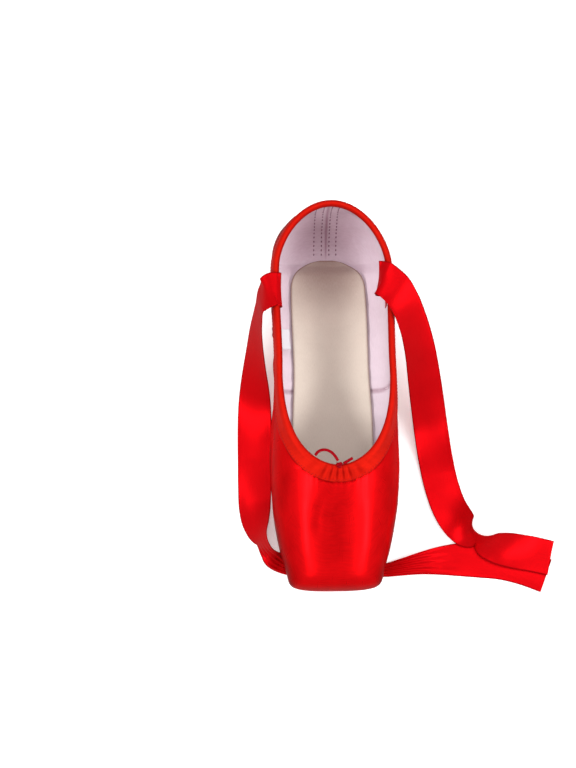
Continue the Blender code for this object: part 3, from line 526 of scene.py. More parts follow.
SATIN_RED = (0.740, 0.0036, 0.0055)
SATIN_DARK = (0.140, 0.0002, 0.0006)
satin = cloth("red_satin", SATIN_RED, SATIN_DARK, roughness=0.29, threads=(0.00045, 0.0005), streak=22,
              bump=0.000010, lustre=0.62, gloss=0.08, tint=(0.45, 0.01, 0.01), mottle=0.20)
upper = make_piece("satin_upper", satin_grid, ring=True, tube=True, finish=satin)
# Painted shade: the lower part of the satin's sides is darkened where they turn away from the lights.
flank_shade = ease((0.050 - last_ring[..., 2]) / 0.034) * ease((np.abs(last_normal[..., 0]) - 0.30) / 0.5)
# Painted shadow: a dark line on the satin just below the tape's edge, towards the throat.
tape_edge_shadow = np.exp(-(((wall_depth - 0.0099) / 0.0006) ** 2)) * ease((-0.010 - last_ring[..., 1]) / 0.02)
# Painted shade: the satin darkens in the troughs of its folds, and the painted flank shade and tape shadow are added.
shade = np.clip(-lift / 0.0014, 0.0, 0.5) + 0.62 * flank_shade + 0.55 * tape_edge_shadow
# Painted shade: the platform's front face at the toe's foot is darkened.
front_face_shade = ease((-0.1185 - last_ring[..., 1]) / 0.0015) * ease((0.016 - last_ring[..., 2]) / 0.006)
shade = np.clip(shade + 0.6 * front_face_shade, 0.0, 0.95)
mark(upper, "shade", np.concatenate((shade, np.zeros(satin_in.shape[:2])), axis=1))
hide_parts("upper")
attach(upper, "root")

# The stitches of the seams: red thread, lock-stitched in two rows along each side seam before the
# upper is lasted.
STITCH_LENGTH = 0.0021
STITCH_PITCH = 0.0030
THREAD = 0.00034


def resample(path, pitch):
    """A path's points at even steps."""
    length = walked(path[None])[0]
    even = np.linspace(0.0, length[-1], max(2, int(length[-1] / pitch)))
    return np.stack([np.interp(even, length, path[:, k]) for k in range(3)], axis=1), even


def stitch_row(path, normals, length, pitch, thickness, slant=0.0):
    """Stitches along a path as small grains: r = thickness (1 - s^4)^(1/2) round a line of the
    stitch's length, lying along the path and turned by the slant, every other one the other way."""
    middles, even = resample(path, pitch)
    known = walked(path[None])[0]
    out = np.stack([np.interp(even, known, normals[:, k]) for k in range(3)], axis=1)
    out /= np.linalg.norm(out, axis=1, keepdims=True)
    way = np.gradient(middles, axis=0)
    way -= np.sum(way * out, axis=1, keepdims=True) * out
    way /= np.linalg.norm(way, axis=1, keepdims=True)
    side = np.cross(out, way)
    turn = slant * np.where(np.arange(len(middles)) % 2 == 0, 1.0, -1.0)[:, None]
    way, side = np.cos(turn) * way + np.sin(turn) * side, np.cos(turn) * side - np.sin(turn) * way
    s = np.array([-1.0, -0.7, 0.0, 0.7, 1.0])[:, None]
    a = np.linspace(0.0, 2 * math.pi, 6, endpoint=False)[None, :]
    radius = thickness * np.array([0.25, 0.85, 1.0, 0.85, 0.25])[:, None]
    sag = -0.7 * thickness * s**4
    local = np.stack((s * length / 2 + 0 * a, radius * np.cos(a), radius * np.sin(a) * 0.8 + sag), axis=-1)
    return (middles[:, None, None, :] + local[None, ..., :1] * way[:, None, None, :]
            + local[None, ..., 1:2] * side[:, None, None, :] + local[None, ..., 2:] * out[:, None, None, :])


def make_stitches(name, rows, finish):
    """One mesh of many grains: the same five rings of six points, joined and capped, for each."""
    grains = np.concatenate(rows)
    count = len(grains)
    ring, turn = np.meshgrid(np.arange(4), np.arange(6), indexing="ij")
    quad = np.stack((ring * 6 + turn, ring * 6 + (turn + 1) % 6, (ring + 1) * 6 + (turn + 1) % 6,
                     (ring + 1) * 6 + turn), axis=-1).reshape(-1, 4)
    first = grains[0].reshape(-1, 3)
    a, b, c, d = (first[quad[:, k]] - first.mean(axis=0) for k in range(4))
    flip = np.sum((a + c) * np.cross(c - a, d - b)) < 0
    caps = np.array([[5, 4, 3, 2, 1, 0], [24, 25, 26, 27, 28, 29]])
    if flip:
        quad, caps = quad[:, ::-1], caps[:, ::-1]
    shift = 30 * np.arange(count)[:, None, None]
    faces = (quad[None] + shift).reshape(-1, 4).tolist() + (caps[None] + shift).reshape(-1, 6).tolist()
    mesh = bpy.data.meshes.new(name)
    mesh.from_pydata(grains.reshape(-1, 3).tolist(), [], faces)
    mesh.polygons.foreach_set("use_smooth", np.ones(len(mesh.polygons), dtype=bool))
    mesh.materials.append(finish)
    made = bpy.data.objects.new(name, mesh)
    bpy.context.scene.collection.objects.link(made)
    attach(made, "root")
    return made


def plain(name, colour, roughness, gloss=0.4):
    """An even finish with a little cloud in its colour."""
    made = bpy.data.materials.new(name)
    made.use_nodes = True
    tree = made.node_tree
    shader = tree.nodes["Principled BSDF"]
    noise = tree.nodes.new("ShaderNodeTexNoise")
    noise.inputs["Scale"].default_value = 600.0
    ramp = tree.nodes.new("ShaderNodeValToRGB")
    ramp.color_ramp.elements[0].color = (*(0.75 * c for c in colour), 1.0)
    ramp.color_ramp.elements[1].color = (*(min(1.0, 1.15 * c) for c in colour), 1.0)
    coordinate = tree.nodes.new("ShaderNodeTexCoord")
    tree.links.new(coordinate.outputs["Object"], noise.inputs["Vector"])
    tree.links.new(noise.outputs["Fac"], ramp.inputs["Fac"])
    tree.links.new(ramp.outputs["Color"], shader.inputs["Base Color"])
    shader.inputs["Roughness"].default_value = roughness
    shader.inputs["Specular IOR Level"].default_value = gloss
    return made


def seam_path(station, side, surface, normals, low, high, lift_out):
    """The line up one side of a surface at a station: on each row, where y passes the station."""
    half = slice(0, COLUMNS) if side > 0 else np.r_[0, np.arange(len(surface) - 1, COLUMNS - 2, -1)]
    part, out = surface[half], normals[half]
    points, ways = [], []
    for j in range(part.shape[1]):
        points.append([np.interp(station, part[:, j, 1], part[:, j, k]) for k in range(3)])
        ways.append([np.interp(station, part[:, j, 1], out[:, j, k]) for k in range(3)])
    points, ways = np.array(points), np.array(ways)
    ways /= np.linalg.norm(ways, axis=1, keepdims=True)
    keep = (points[:, 2] > low) & (points[:, 2] < high)
    return points[keep] + ways[keep] * lift_out, ways[keep]


seam_thread = plain("seam_thread", (0.42, 0.002, 0.004), 0.5)
seam_rows = []
for side in (1, -1):
    for shift in (0.0012, 0.0012 + SEAM_ROWS):
        seam_rows.append(stitch_row(*seam_path(SEAM_STATION + shift, side, satin_out, last_normal, 0.020, 0.052,
                                               0.0001), STITCH_LENGTH, STITCH_PITCH, THREAD))
upper_stitches = make_stitches("side_seam_stitches", seam_rows, seam_thread)

# The lining: pale cotton canvas, cut like the upper and sewn to it along the collar. It has a
# centre seam and four rows of stitches behind the heel, and a seam up each side.
LINING_ROWS = 84
LINING = 0.0007
HEEL_STITCH_COLUMNS = (-0.0076, -0.0028, 0.0020, 0.0064)
HEEL_STITCH_END = 0.0965  # the rows stop here, just behind the insole
SLIT_STATION = 0.0055

inner_angles = read_rows(rows_weighted[:, -1:] * np.linspace(0.0, 1.0, LINING_ROWS), rows_weighted, angles)
inner_half = on_last(places[:, None], inner_angles)
inner_normal = both_sides(outward(inner_half))
inner_ring = both_sides(inner_half)
inner_depth = both_sides((walked(inner_half)[:, -1:] - walked(inner_half))[..., None])[..., 0]


def lining_relief(points, down):
    """How far the canvas stands in from the wall: seams as narrow troughs, soft drag lines that lean
    from each slit, and a slack roll along its foot; and each slit's weight, used as painted shade."""
    x, y, z = np.moveaxis(points, -1, 0)
    relief = 0.00030 * np.exp(-(((np.abs(x) - 0.0012) / 0.0008) ** 2)) * ease((y - 0.100) / 0.006)
    relief -= 0.00045 * np.exp(-((x / 0.0005) ** 2)) * ease((y - 0.100) / 0.006)
    slit = np.exp(-(((y - SLIT_STATION - 0.0015 * np.sin(z * 180)) / 0.0011) ** 2)) * ease((0.052 - z) / 0.008)
    relief -= 0.0009 * slit
    relief += 0.0006 * np.exp(-(((y - SLIT_STATION - 0.004) / 0.0022) ** 2)) * ease((0.054 - z) / 0.010)
    relief += 0.00022 * np.sin(y * 420 + z * 260) * ease((0.046 - z) / 0.02) * ease((y + 0.04) / 0.03)
    relief += 0.00016 * np.sin(np.arctan2(x, y - 0.07) * 23) * ease((y - 0.080) / 0.015) * ease((z - 0.02) / 0.01)
    return relief, slit


relief, slit = lining_relief(inner_ring, inner_depth)
thickness = wall_thickness(inner_ring[..., 1])
face_in = inner_ring - inner_normal * (thickness + relief)[..., None]
face_in[..., 2] = np.maximum(face_in[..., 2], WALL)
picked = np.unique(np.linspace(0, LINING_ROWS - 1, 20).astype(int))
face_out = (inner_ring - inner_normal * (SATIN + 0.0001))[:, picked]
face_out[..., 2] = np.maximum(face_out[..., 2], SATIN + 0.0001)
canvas = cloth("lining_canvas", (0.700, 0.590, 0.650), (0.360, 0.220, 0.270), roughness=0.85,
               threads=(0.0006, 0.0006), streak=5, bump=0.00006, gloss=0.15, mottle=0.10)
lining = make_piece("canvas_lining", np.concatenate((face_in, face_out[:, ::-1]), axis=1), ring=True,
                    tube=True, finish=canvas)
# Painted shade on the lining: dark in the side slits and a painted shadow over the middle of the heel's inside. The
# centre seam is drawn as a dark line, and the lining is a little darker towards the foot of the wall.
heel_shade = 0.42 * ease((inner_ring[..., 1] - 0.080) / 0.032) * ease((0.040 - np.abs(inner_ring[..., 0])) / 0.03)
heel_seam = 0.5 * np.exp(-((inner_ring[..., 0] / 0.0005) ** 2)) * ease((inner_ring[..., 1] - 0.092) / 0.006)
canvas_shade = slit + heel_shade + heel_seam + 0.10 * ease((0.030 - inner_ring[..., 2]) / 0.02)
mark(lining, "shade", np.concatenate((canvas_shade, np.zeros(face_out.shape[:2])), axis=1))
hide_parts("upper")
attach(lining, "root")


def heel_line(across, surface, normals, station, high, lift_out):
    """The line up the inside of the heel where x passes a value, behind a station and below a
    height."""
    heel = np.arange(COLUMNS - 40, COLUMNS + 40)
    part, out = surface[heel], normals[heel]
    order = slice(None, None, -1)
    points = np.array([[np.interp(across, part[order, j, 0], part[order, j, k]) for k in range(3)]
                       for j in range(part.shape[1])])
    ways = np.array([[np.interp(across, part[order, j, 0], out[order, j, k]) for k in range(3)]
                     for j in range(part.shape[1])])
    steps = np.linspace(0.0, len(points) - 1.0, 10 * len(points))
    points, ways = (np.stack([np.interp(steps, np.arange(len(rows)), rows[:, k]) for k in range(3)], axis=1)
                    for rows in (points, ways))
    keep = (points[:, 1] > station) & (points[:, 2] < high)
    return points[keep] + ways[keep] * lift_out, -ways[keep]


canvas_thread = plain("lining_thread", (0.26, 0.16, 0.20), 0.8, 0.1)
heel_rows = [stitch_row(*heel_line(across, face_in, inner_normal, HEEL_STITCH_END, 0.051, -0.00010), 0.0015,
                         0.0027, 0.00040)
             for across in HEEL_STITCH_COLUMNS]
make_stitches("lining_stitches", heel_rows, canvas_thread)

# The size label: a small white woven tab, sewn by its top edge under the tape on the left, bare
# side out. Its lower edge stands a little away from the lining.
LABEL_STATION = (0.0290, 0.0420)
LABEL_HEIGHT = (0.0270, 0.0420)
LABEL_STANDS_OFF = 0.0060


def on_wall(y, z, inset):
    """Points on the inside of the left wall at given stations and heights, moved in by an inset."""
    reach = bisect(lambda x: excess(x, y, z), np.zeros_like(y), np.full_like(y, 0.06))
    point = np.stack((reach, y, z), axis=-1)
    return (point - outward(point) * inset[..., None]) * np.array([-1.0, 1.0, 1.0])


label_y, label_z = np.meshgrid(np.linspace(*LABEL_STATION, 14), np.linspace(*LABEL_HEIGHT, 14), indexing="ij")
hang = LABEL_STANDS_OFF * ((LABEL_HEIGHT[1] - label_z) / (LABEL_HEIGHT[1] - LABEL_HEIGHT[0])) ** 1.3
label_inset = WALL + 0.0011 + hang + 0.0002 * np.sin(label_y * 500)
label_near = on_wall(label_y, label_z, label_inset + 0.00025)
label_far = on_wall(label_y, label_z, label_inset)
label_cloth = cloth("label_weave", (0.66, 0.65, 0.68), (0.45, 0.42, 0.46), roughness=0.7,
                    threads=(0.0004, 0.0004), streak=6, bump=0.00003, gloss=0.3, mottle=0.08)
label = make_piece("size_label", np.concatenate((label_near, label_far[:, ::-1]), axis=1), tube=True,
                   finish=label_cloth, ends=True)
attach(label, "root")

# The binding: satin tape folded over the collar's edge with the drawstring inside it, and sewn
# through near its lower edge. The string pulls it into small gathers round the throat.
TAPE_THICKNESS = 0.0008
TAPE_OUTSIDE = 0.0095
TAPE_INSIDE = 0.0065
CORE = 0.0005  # how far the drawstring swells the tape over the edge
GATHER = 0.00030
TAPE_RED = (0.470, 0.0080, 0.0035)

inside = -WALL - GAP
outer_down = np.array([TAPE_OUTSIDE, TAPE_OUTSIDE - 0.0002, TAPE_OUTSIDE - 0.0008, 0.0080, 0.0070, 0.0060,
                       0.0050, 0.0040, 0.0030, 0.0022, 0.0014, 0.0006])
outer_out = GAP + TAPE_THICKNESS * np.array([0.45, 0.85, 1.0, 0.92, 0.88, 0.88, 0.92, 1.0, 1.15, 1.3, 1.35, 1.2])
arch = np.linspace(0.0, math.pi, 9)
arch_out = (GAP + TAPE_THICKNESS + inside - TAPE_THICKNESS) / 2 + np.cos(arch) * (
    2 * TAPE_THICKNESS + 2 * GAP + WALL) / 2
arch_down = -0.0001 - np.sin(arch) * (GAP + TAPE_THICKNESS + CORE)
inner_down = np.array([0.0006, 0.0014, 0.0024, 0.0036, 0.0048, 0.0058, 0.0063, TAPE_INSIDE])
inner_out = inside - TAPE_THICKNESS * np.array([1.2, 1.2, 1.05, 0.95, 0.95, 0.95, 0.8, 0.4])
back_down = np.array([TAPE_INSIDE, 0.0040, 0.0, -GAP, -GAP, 0.0, 0.0040, TAPE_OUTSIDE])
back_out = np.array([inside, inside, inside, inside, GAP, GAP, GAP, GAP])
tape_down = np.concatenate((outer_down, arch_down, inner_down, back_down))
tape_out = np.concatenate((outer_out, arch_out, inner_out, back_out))
edge_points = at_depth(np.maximum(tape_down, 0.0)[None, :])
edge_up = at_depth(np.maximum(tape_down - 0.0004, 0.0)[None, :]) - at_depth(np.maximum(tape_down, 0.0)[None, :] + 0.0004)
edge_up /= np.linalg.norm(edge_up, axis=-1, keepdims=True)
edge_normal = outward(edge_points)
edge_points = edge_points + edge_up * np.maximum(-tape_down, 0.0)[None, :, None]
tape_ring, tape_normal = both_sides(edge_points), both_sides(edge_normal)
tape_walk = walked(tape_ring[:, 10:11].transpose(1, 0, 2))[0]
tape_total = tape_walk[-1] + tape_walk[1]
around = np.minimum(tape_walk, tape_total - tape_walk)
shown = np.concatenate((np.ones(len(outer_down) + 9 + len(inner_down)), np.zeros(len(back_down))))
gathered = 0.80 * np.exp(-((around / 0.013) ** 2)) + 0.07
phase = tape_walk * (2 * math.pi / 0.0046) + 2.2 * np.sin(tape_walk * 260) + 1.4 * np.sin(tape_walk * 117)
fold = np.sin(phase)[:, None] * np.exp(-(((tape_down - 0.004) / 0.0045) ** 2))[None, :]
puff = GATHER * fold * gathered[:, None] * shown[None, :]
sign = np.where(np.arange(len(tape_down)) < len(outer_down) + 5, 1.0, -1.0)
tape_grid = tape_ring + tape_normal * (tape_out[None, :] + puff * sign[None, :])[..., None]
tape = cloth("binding_tape", TAPE_RED, (0.230, 0.0015, 0.0010), roughness=0.48, threads=(0.00045, 0.00045),
             streak=9, bump=0.00007, lustre=0.25, gloss=0.10, tint=(0.7, 0.05, 0.03), mottle=0.20)
binding = make_piece("tape_binding", tape_grid, ring=True, tube=True, finish=tape)
# Painted shade on the tape: the inner half is darker than the outer, it is darker in the troughs of the gathers, and
# a painted shadow line runs along its lower edge.
inner_half = 0.45 * (np.arange(len(tape_down)) > len(outer_down) + 4)
mark(binding, "shade", np.clip(-1.0 * fold * gathered[:, None], 0.0, 0.7) * shown[None, :]
     + 0.7 * (tape_down > 0.0091)[None, :] + inner_half[None, :])
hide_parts("binding")
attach(binding, "root")

tape_thread = plain("tape_thread", (0.36, 0.003, 0.003), 0.7, 0.1)
stitch_path = tape_grid[:, 3] + tape_normal[:, 3] * 0.00008
closed_path = np.concatenate((stitch_path, stitch_path[:1]))
closed_normal = np.concatenate((tape_normal[:, 3], tape_normal[:1, 3]))
tape_stitches = make_stitches("tape_stitches", [stitch_row(closed_path, closed_normal, 0.0015, 0.0021, 0.00022,
                                                           slant=0.55)], tape_thread)

# The insole: a thin board with a beige cloth top, glued in over the lining. Its edge is cut square,
# and a thin dark line of painted shade runs round it where it meets the lining.
INSOLE_THICKNESS = 0.0020
INSOLE_SEAT = 0.00055
INSOLE_FRONT = 0.0330
INSOLE_REAR = 0.0280
INSOLE_WIDTH = 0.0500
INSOLE_ROUNDING = (0.50, 0.42)
INSOLE = np.array([(0.0, 0.98), (0.2, 1.04), (0.4, 1.00), (0.6, 0.94), (0.8, 0.95), (1.0, 0.92)])
insole_start, insole_end = INSOLE_FRONT - LENGTH / 2, LENGTH / 2 - INSOLE_REAR
insole_width = smooth_line(insole_start + INSOLE[:, 0] * (insole_end - insole_start), INSOLE[:, 1] * INSOLE_WIDTH / 2)


def insole_half(y):
    """The insole's half width: its table's, times a round end at each end."""
    front, rear = INSOLE_WIDTH * INSOLE_ROUNDING[0], INSOLE_WIDTH * INSOLE_ROUNDING[1]
    over = np.maximum(np.maximum((insole_start + front - y) / front, (y - insole_end + rear) / rear), 0.0)
    return insole_width(y) * np.maximum(0.0, 1.0 - over**ROUNDING_POWER) ** (1 / ROUNDING_POWER)


def underside(x, y):
    """Height of the last's underside over a place in plan, and how steep it is there."""

    def height(px, py):
        top = middle_line(py)
        return top - bisect(lambda d: excess(px, py, top - d), np.zeros_like(px), np.full_like(px, 0.09))

    step = 0.0001
    slope_x = (height(x + step, y) - height(x - step, y)) / (2 * step)
    slope_y = (height(x, y + step) - height(x, y - step)) / (2 * step)
    return height(x, y), np.sqrt(1.0 + slope_x**2 + slope_y**2)


def plate_places(start, end, half, count, across):
    """Places over a plate in plan: stations crowded towards both ends, and x = half(y) sin(t)."""
    even = np.linspace(0.0, 1.0, count)
    y = start + 0.0002 + (end - start - 0.0004) * (0.3 * even + 0.7 * (0.5 - 0.5 * np.cos(math.pi * even)))
    x = np.maximum(half(y), 0.0002)[:, None] * np.sin(np.linspace(-math.pi / 2, math.pi / 2, across))[None, :]
    return x, np.repeat(y[:, None], across, axis=1)


def edge_gap(x, y, half, start, end):
    """Roughly how far a place lies inside a plate's edge."""
    return np.minimum(np.minimum(half(y) - np.abs(x), y - start), end - y)


x, y = plate_places(insole_start, insole_end, insole_half, 150, 44)
ground, steep = underside(x, y)
low = np.maximum(ground + wall_thickness(y) * steep, WALL) + INSOLE_SEAT * steep
inner = np.maximum(edge_gap(x, y, insole_half, insole_start, insole_end), 0.0)
round_off = 0.0006 * (1.0 - ease(inner / 0.0012))
worn = 0.00012 * np.sin(x * 160 + 1.0) * np.sin(y * 90)
top = low + INSOLE_THICKNESS - round_off + worn
insole_cloth = cloth("insole_cloth", (0.640, 0.565, 0.480), (0.270, 0.180, 0.155), roughness=0.9,
                     threads=(0.0005, 0.0005), streak=4, bump=0.00004, gloss=0.15, mottle=0.08)
insole = make_piece("insole_board", np.concatenate((np.stack((x, y, low), -1), np.stack((x, y, top), -1)[:, ::-1]),
                                                   axis=1), tube=True, finish=insole_cloth, ends=True)
# Painted shadow over the insole's heel end, a thin line of painted shade round its edge where it meets the lining,
# and painted shade over its whole underside.
heel_shadow = 0.80 * ease((y - 0.046) / 0.040) * (1.0 - 0.45 * (x / 0.023) ** 2)
insole_edge_and_heel_shade = 0.85 * np.exp(-((inner / 0.0007) ** 2)) + heel_shadow
mark(insole, "shade", np.concatenate((np.ones_like(low), insole_edge_and_heel_shade[:, ::-1]), axis=1))
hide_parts("insole")
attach(insole, "root")

# The outsole: one piece of tan leather, skived thin at its ends, glued and stitched over the
# gathered edge of the satin. Its underside is buffed to a short nap.
x, y = plate_places(SOLE_START, SOLE_END, sole_half, 150, 40)
ground, steep = underside(x, y)
top = ground - SOLE_SEAT * steep
inner = np.maximum(edge_gap(x, y, sole_half, SOLE_START, SOLE_END), 0.0)
groove = 0.00025 * np.exp(-(((inner - 0.0030) / 0.0005) ** 2))
bottom = np.maximum(top - sole_thickness(y) + 0.0007 * (1.0 - ease(inner / 0.0014)) + groove, 0.0)
leather = cloth("sole_leather", (0.560, 0.360, 0.225), (0.300, 0.165, 0.090), roughness=0.62,
                threads=(0.0012, 0.0012), streak=2, bump=0.00005, gloss=0.35, mottle=0.22, mottle_size=0.02)
outsole = make_piece("leather_outsole", np.concatenate((np.stack((x, y, bottom), -1),
                                                        np.stack((x, y, top), -1)[:, ::-1]), axis=1),
                     tube=True, finish=leather, ends=True)
# Darker near its edge and where it rests on the floor, and a little darker over its top face.
darker_edge_and_tread = 0.55 * np.exp(-((inner / 0.0009) ** 2)) + 0.35 * (bottom < 0.0003)
mark(outsole, "shade", np.concatenate((darker_edge_and_tread, 0.4 * np.ones_like(darker_edge_and_tread)), axis=1))
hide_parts("outsole")
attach(outsole, "root")

# The drawstring: one thin dark elastic cord that runs in the binding and comes out at the throat,
# where it is tied in a small tight knot with one loop end and one cut end.
STRING = 0.0017
KNOT = np.array([0.0, THROAT + 0.0009, INSTEP_HEIGHT + 2 * GAP + TAPE_THICKNESS + 0.0017])
LOOP_ROUTE = np.array([
    (-14.3, 6.4, -1.0), (-13.6, 7.4, -0.2), (-12.0, 8.6, 0.3), (-9.6, 9.2, 0.7), (-7.0, 8.8, 0.9),
    (-4.8, 7.6, 0.9), (-3.0, 5.8, 0.7), (-1.6, 3.8, 0.5), (-0.8, 2.5, 0.3),
])
END_ROUTE = np.array([(2.5, 0.8, -0.1), (4.2, 1.8, -0.3), (6.2, 3.0, -0.5), (8.2, 4.2, -0.7)])


def smooth_route(points, count, turn_weight=0.012):
    """Even steps along the cubic through a route's points whose slope is each one's chord's."""
    along = np.concatenate(([0.0], np.cumsum(np.linalg.norm(np.diff(points[:, :3], axis=0), axis=1))))
    place = np.linspace(0.0, along[-1], count * 8)
    i = np.clip(np.searchsorted(along, place, side="right") - 1, 0, len(along) - 2)
    span = (along[i + 1] - along[i])[:, None]
    t = (place[:, None] - along[i][:, None]) / span
    slope = np.gradient(points, along, axis=0)
    start, end, rise = slope[i] * span, slope[i + 1] * span, points[i + 1] - points[i]
    route = points[i] + t * start + t * t * (3 * rise - 2 * start - end) + t**3 * (start + end - 2 * rise)
    length = walked(route[None, :, :3], turn_weight)[0]
    even = np.linspace(0.0, length[-1], count)
    return np.stack([np.interp(even, length, route[:, k]) for k in range(points.shape[1])], axis=1)


def cord_grid(path, radius, sides=14, strands=0):
    """A tube: rings of a radius round a path, carried along without twist, its strands standing out
    as 1 + 0.09 |cos(strands a / 2 + k s)|."""
    way = np.gradient(path, axis=0)
    way /= np.linalg.norm(way, axis=1, keepdims=True)
    across = np.zeros_like(path)
    across[0] = np.cross(way[0], (0.0, 0.0, 1.0))
    for k in range(1, len(path)):
        across[k] = across[k - 1] - way[k] * (across[k - 1] @ way[k])
        across[k] /= np.linalg.norm(across[k])
    across[0] /= np.linalg.norm(across[0])
    other = np.cross(way, across)
    a = np.linspace(0.0, 2 * math.pi, sides, endpoint=False)[None, :, None]
    s = walked(path[None])[0][:, None, None]
    swell = 1.0 + (0.09 * np.abs(np.cos(strands * a / 2 + s * 3200)) if strands else 0.0)
    r = np.asarray(radius)[:, None, None] * swell if np.ndim(radius) else radius * swell
    return path[:, None, :] + r * (np.cos(a) * across[:, None, :] + np.sin(a) * other[:, None, :])


string_cloth = cloth("drawstring_braid", (0.240, 0.002, 0.006), (0.080, 0.001, 0.002), roughness=0.6,
                     threads=(0.0004, 0.0004), streak=2, bump=0.00006, gloss=0.12, tint=(0.6, 0.05, 0.08), mottle=0.2)
for name, node, route in (("drawstring_arch", "drawstring_loop", LOOP_ROUTE), ("drawstring_tip", "drawstring_end", END_ROUTE)):
    path = smooth_route(route * 0.001 + KNOT, 70)
    share = np.linspace(0.0, 1.0, 70)
    radius = STRING / 2 * (1.0 - 0.35 * (1.0 - ease((1.0 - share) / 0.05)) * (node == "drawstring_end"))
    piece = make_piece(name, cord_grid(path, radius, strands=6), tube=True, finish=string_cloth, ends=True)
    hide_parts(node)
    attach(piece, "root")
turn = np.linspace(0.0, 2 * math.pi, 160, endpoint=False)
knot_path = KNOT + np.stack((
    0.00058 * (np.sin(turn) + 2 * np.sin(2 * turn)) * 0.85,
    0.00050 * (np.cos(turn) - 2 * np.cos(2 * turn)) * 0.85,
    -0.00085 * np.sin(3 * turn),
), axis=-1)
closed = np.concatenate((knot_path, knot_path[:2]))
knot_grid = cord_grid(closed, 0.00072, strands=6)[:160]
knot = make_piece("drawstring_bow_knot", knot_grid, tube=True, finish=string_cloth, ends=True)
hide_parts("drawstring_knot")
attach(knot, "root")

# The ribbons: double-faced satin, 22 mm wide with woven edges, each sewn by hand inside the collar.
# The left one is drawn out over the tape, drops to the floor and passes in front of the toe; the
# right one rises inside, falls beside the shoe and turns over before it lies on the left one.
RIBBON_WIDTH = 0.0220
RIBBON_THICKNESS = 0.00036
RIBBON_SEWN = 0.0170
RIBBON_CLEARANCE = 0.0008
RIBBON_FAN_SHARE = 2.08
PART_RIBBON = 0.0005
# Columns: across, along, up, in millimetres, the way to the ribbon's back or outer edge, and its
# width as a share of the whole, less than 1 where it is gathered under the toe
LEFT_ROUTE = np.array([
    (-41.0, 60.5, 58.8, 0.00, 0.98, -0.15, 1.0), (-44.3, 57.0, 54.0, -0.02, 0.90, -0.42, 1.0),
    (-46.3, 48.5, 47.5, -0.12, 0.80, -0.58, 1.0), (-47.4, 38.0, 38.5, -0.28, 0.69, -0.67, 1.0),
    (-47.6, 26.0, 28.0, -0.45, 0.64, -0.60, 1.0), (-47.6, 13.5, 18.0, -0.66, 0.62, -0.40, 1.0),
    (-47.6, -1.0, 10.0, -0.85, 0.45, -0.26, 1.0), (-47.6, -18.0, 5.0, -0.96, 0.22, -0.20, 1.0),
    (-47.8, -36.0, 3.6, -0.96, 0.05, -0.26, 1.0), (-48.3, -52.0, 4.4, -0.93, 0.00, -0.37, 1.0),
    (-48.6, -66.0, 6.2, -0.85, 0.00, -0.53, 1.0), (-47.6, -78.0, 9.0, -0.62, -0.05, -0.78, 1.0),
    (-44.8, -88.5, 10.4, -0.20, -0.16, -0.96, 0.95), (-40.0, -96.0, 7.4, 0.05, -0.62, -0.78, 0.70),
    (-33.0, -101.5, 3.2, 0.05, -0.93, -0.36, 0.48), (-24.0, -104.8, 0.8, 0.00, -1.00, -0.05, 0.36),
    (-12.0, -106.2, 0.5, 0.00, -1.00, 0.00, 0.34), (4.0, -106.6, 0.5, 0.00, -1.00, 0.00, 0.34),
    (20.0, -106.4, 0.6, 0.00, -1.00, 0.00, 0.34), (32.0, -105.8, 1.2, 0.00, -0.99, -0.10, 0.38),
    (44.0, -104.0, 2.4, 0.00, -0.97, -0.24, 0.50), (56.0, -101.8, 2.4, 0.00, -0.97, -0.22, 0.66),
    (68.0, -100.2, 1.4, 0.00, -0.99, -0.09, 0.82), (80.0, -99.6, 0.5, 0.00, -1.00, 0.00, 0.95),
    (93.0, -100.2, 0.4, 0.00, -1.00, 0.00, 1.0), (106.0, -101.6, 0.3, -0.10, -1.00, 0.00, 1.0),
    (120.0, -105.2, 0.3, -0.20, -0.97, 0.00, 1.0), (134.0, -110.5, 0.3, -0.35, -0.94, 0.00, 1.0),
])
RIGHT_ROUTE = np.array([
    (31.3, 68.5, 54.5, 0.00, 1.00, -0.10, 1.0), (28.2, 68.5, 60.5, 0.15, 0.97, -0.10, 1.0),
    (30.2, 67.5, 65.2, 0.30, 0.95, -0.10, 1.0), (37.0, 62.0, 66.3, 0.55, 0.82, -0.15, 1.0),
    (43.5, 52.5, 63.8, 0.72, 0.63, -0.30, 1.0), (48.5, 41.5, 58.0, 0.80, 0.50, -0.35, 1.0),
    (53.0, 28.0, 48.0, 0.87, 0.40, -0.30, 1.0), (57.0, 12.0, 33.0, 0.92, 0.30, -0.20, 1.0),
    (60.5, -4.0, 18.5, 0.95, 0.25, -0.12, 1.0), (63.5, -20.0, 7.5, 0.97, 0.22, -0.05, 1.0),
    (66.5, -37.0, 1.6, 0.98, 0.20, 0.00, 1.0), (70.0, -54.0, 0.6, 0.97, 0.24, 0.00, 1.0),
    (75.0, -69.0, 3.0, 0.93, 0.30, 0.12, 1.0), (82.0, -80.5, 7.6, 0.68, 0.52, 0.52, 1.0),
    (90.0, -88.5, 12.6, -0.20, 0.35, 0.91, 1.0), (101.0, -92.5, 9.8, -0.05, 0.75, 0.66, 1.0),
    (114.0, -95.0, 5.8, 0.00, 0.95, 0.31, 1.0), (126.0, -97.0, 3.2, 0.00, 0.99, 0.10, 1.0),
    (137.0, -99.5, 2.0, 0.00, 1.00, 0.02, 1.0),
])


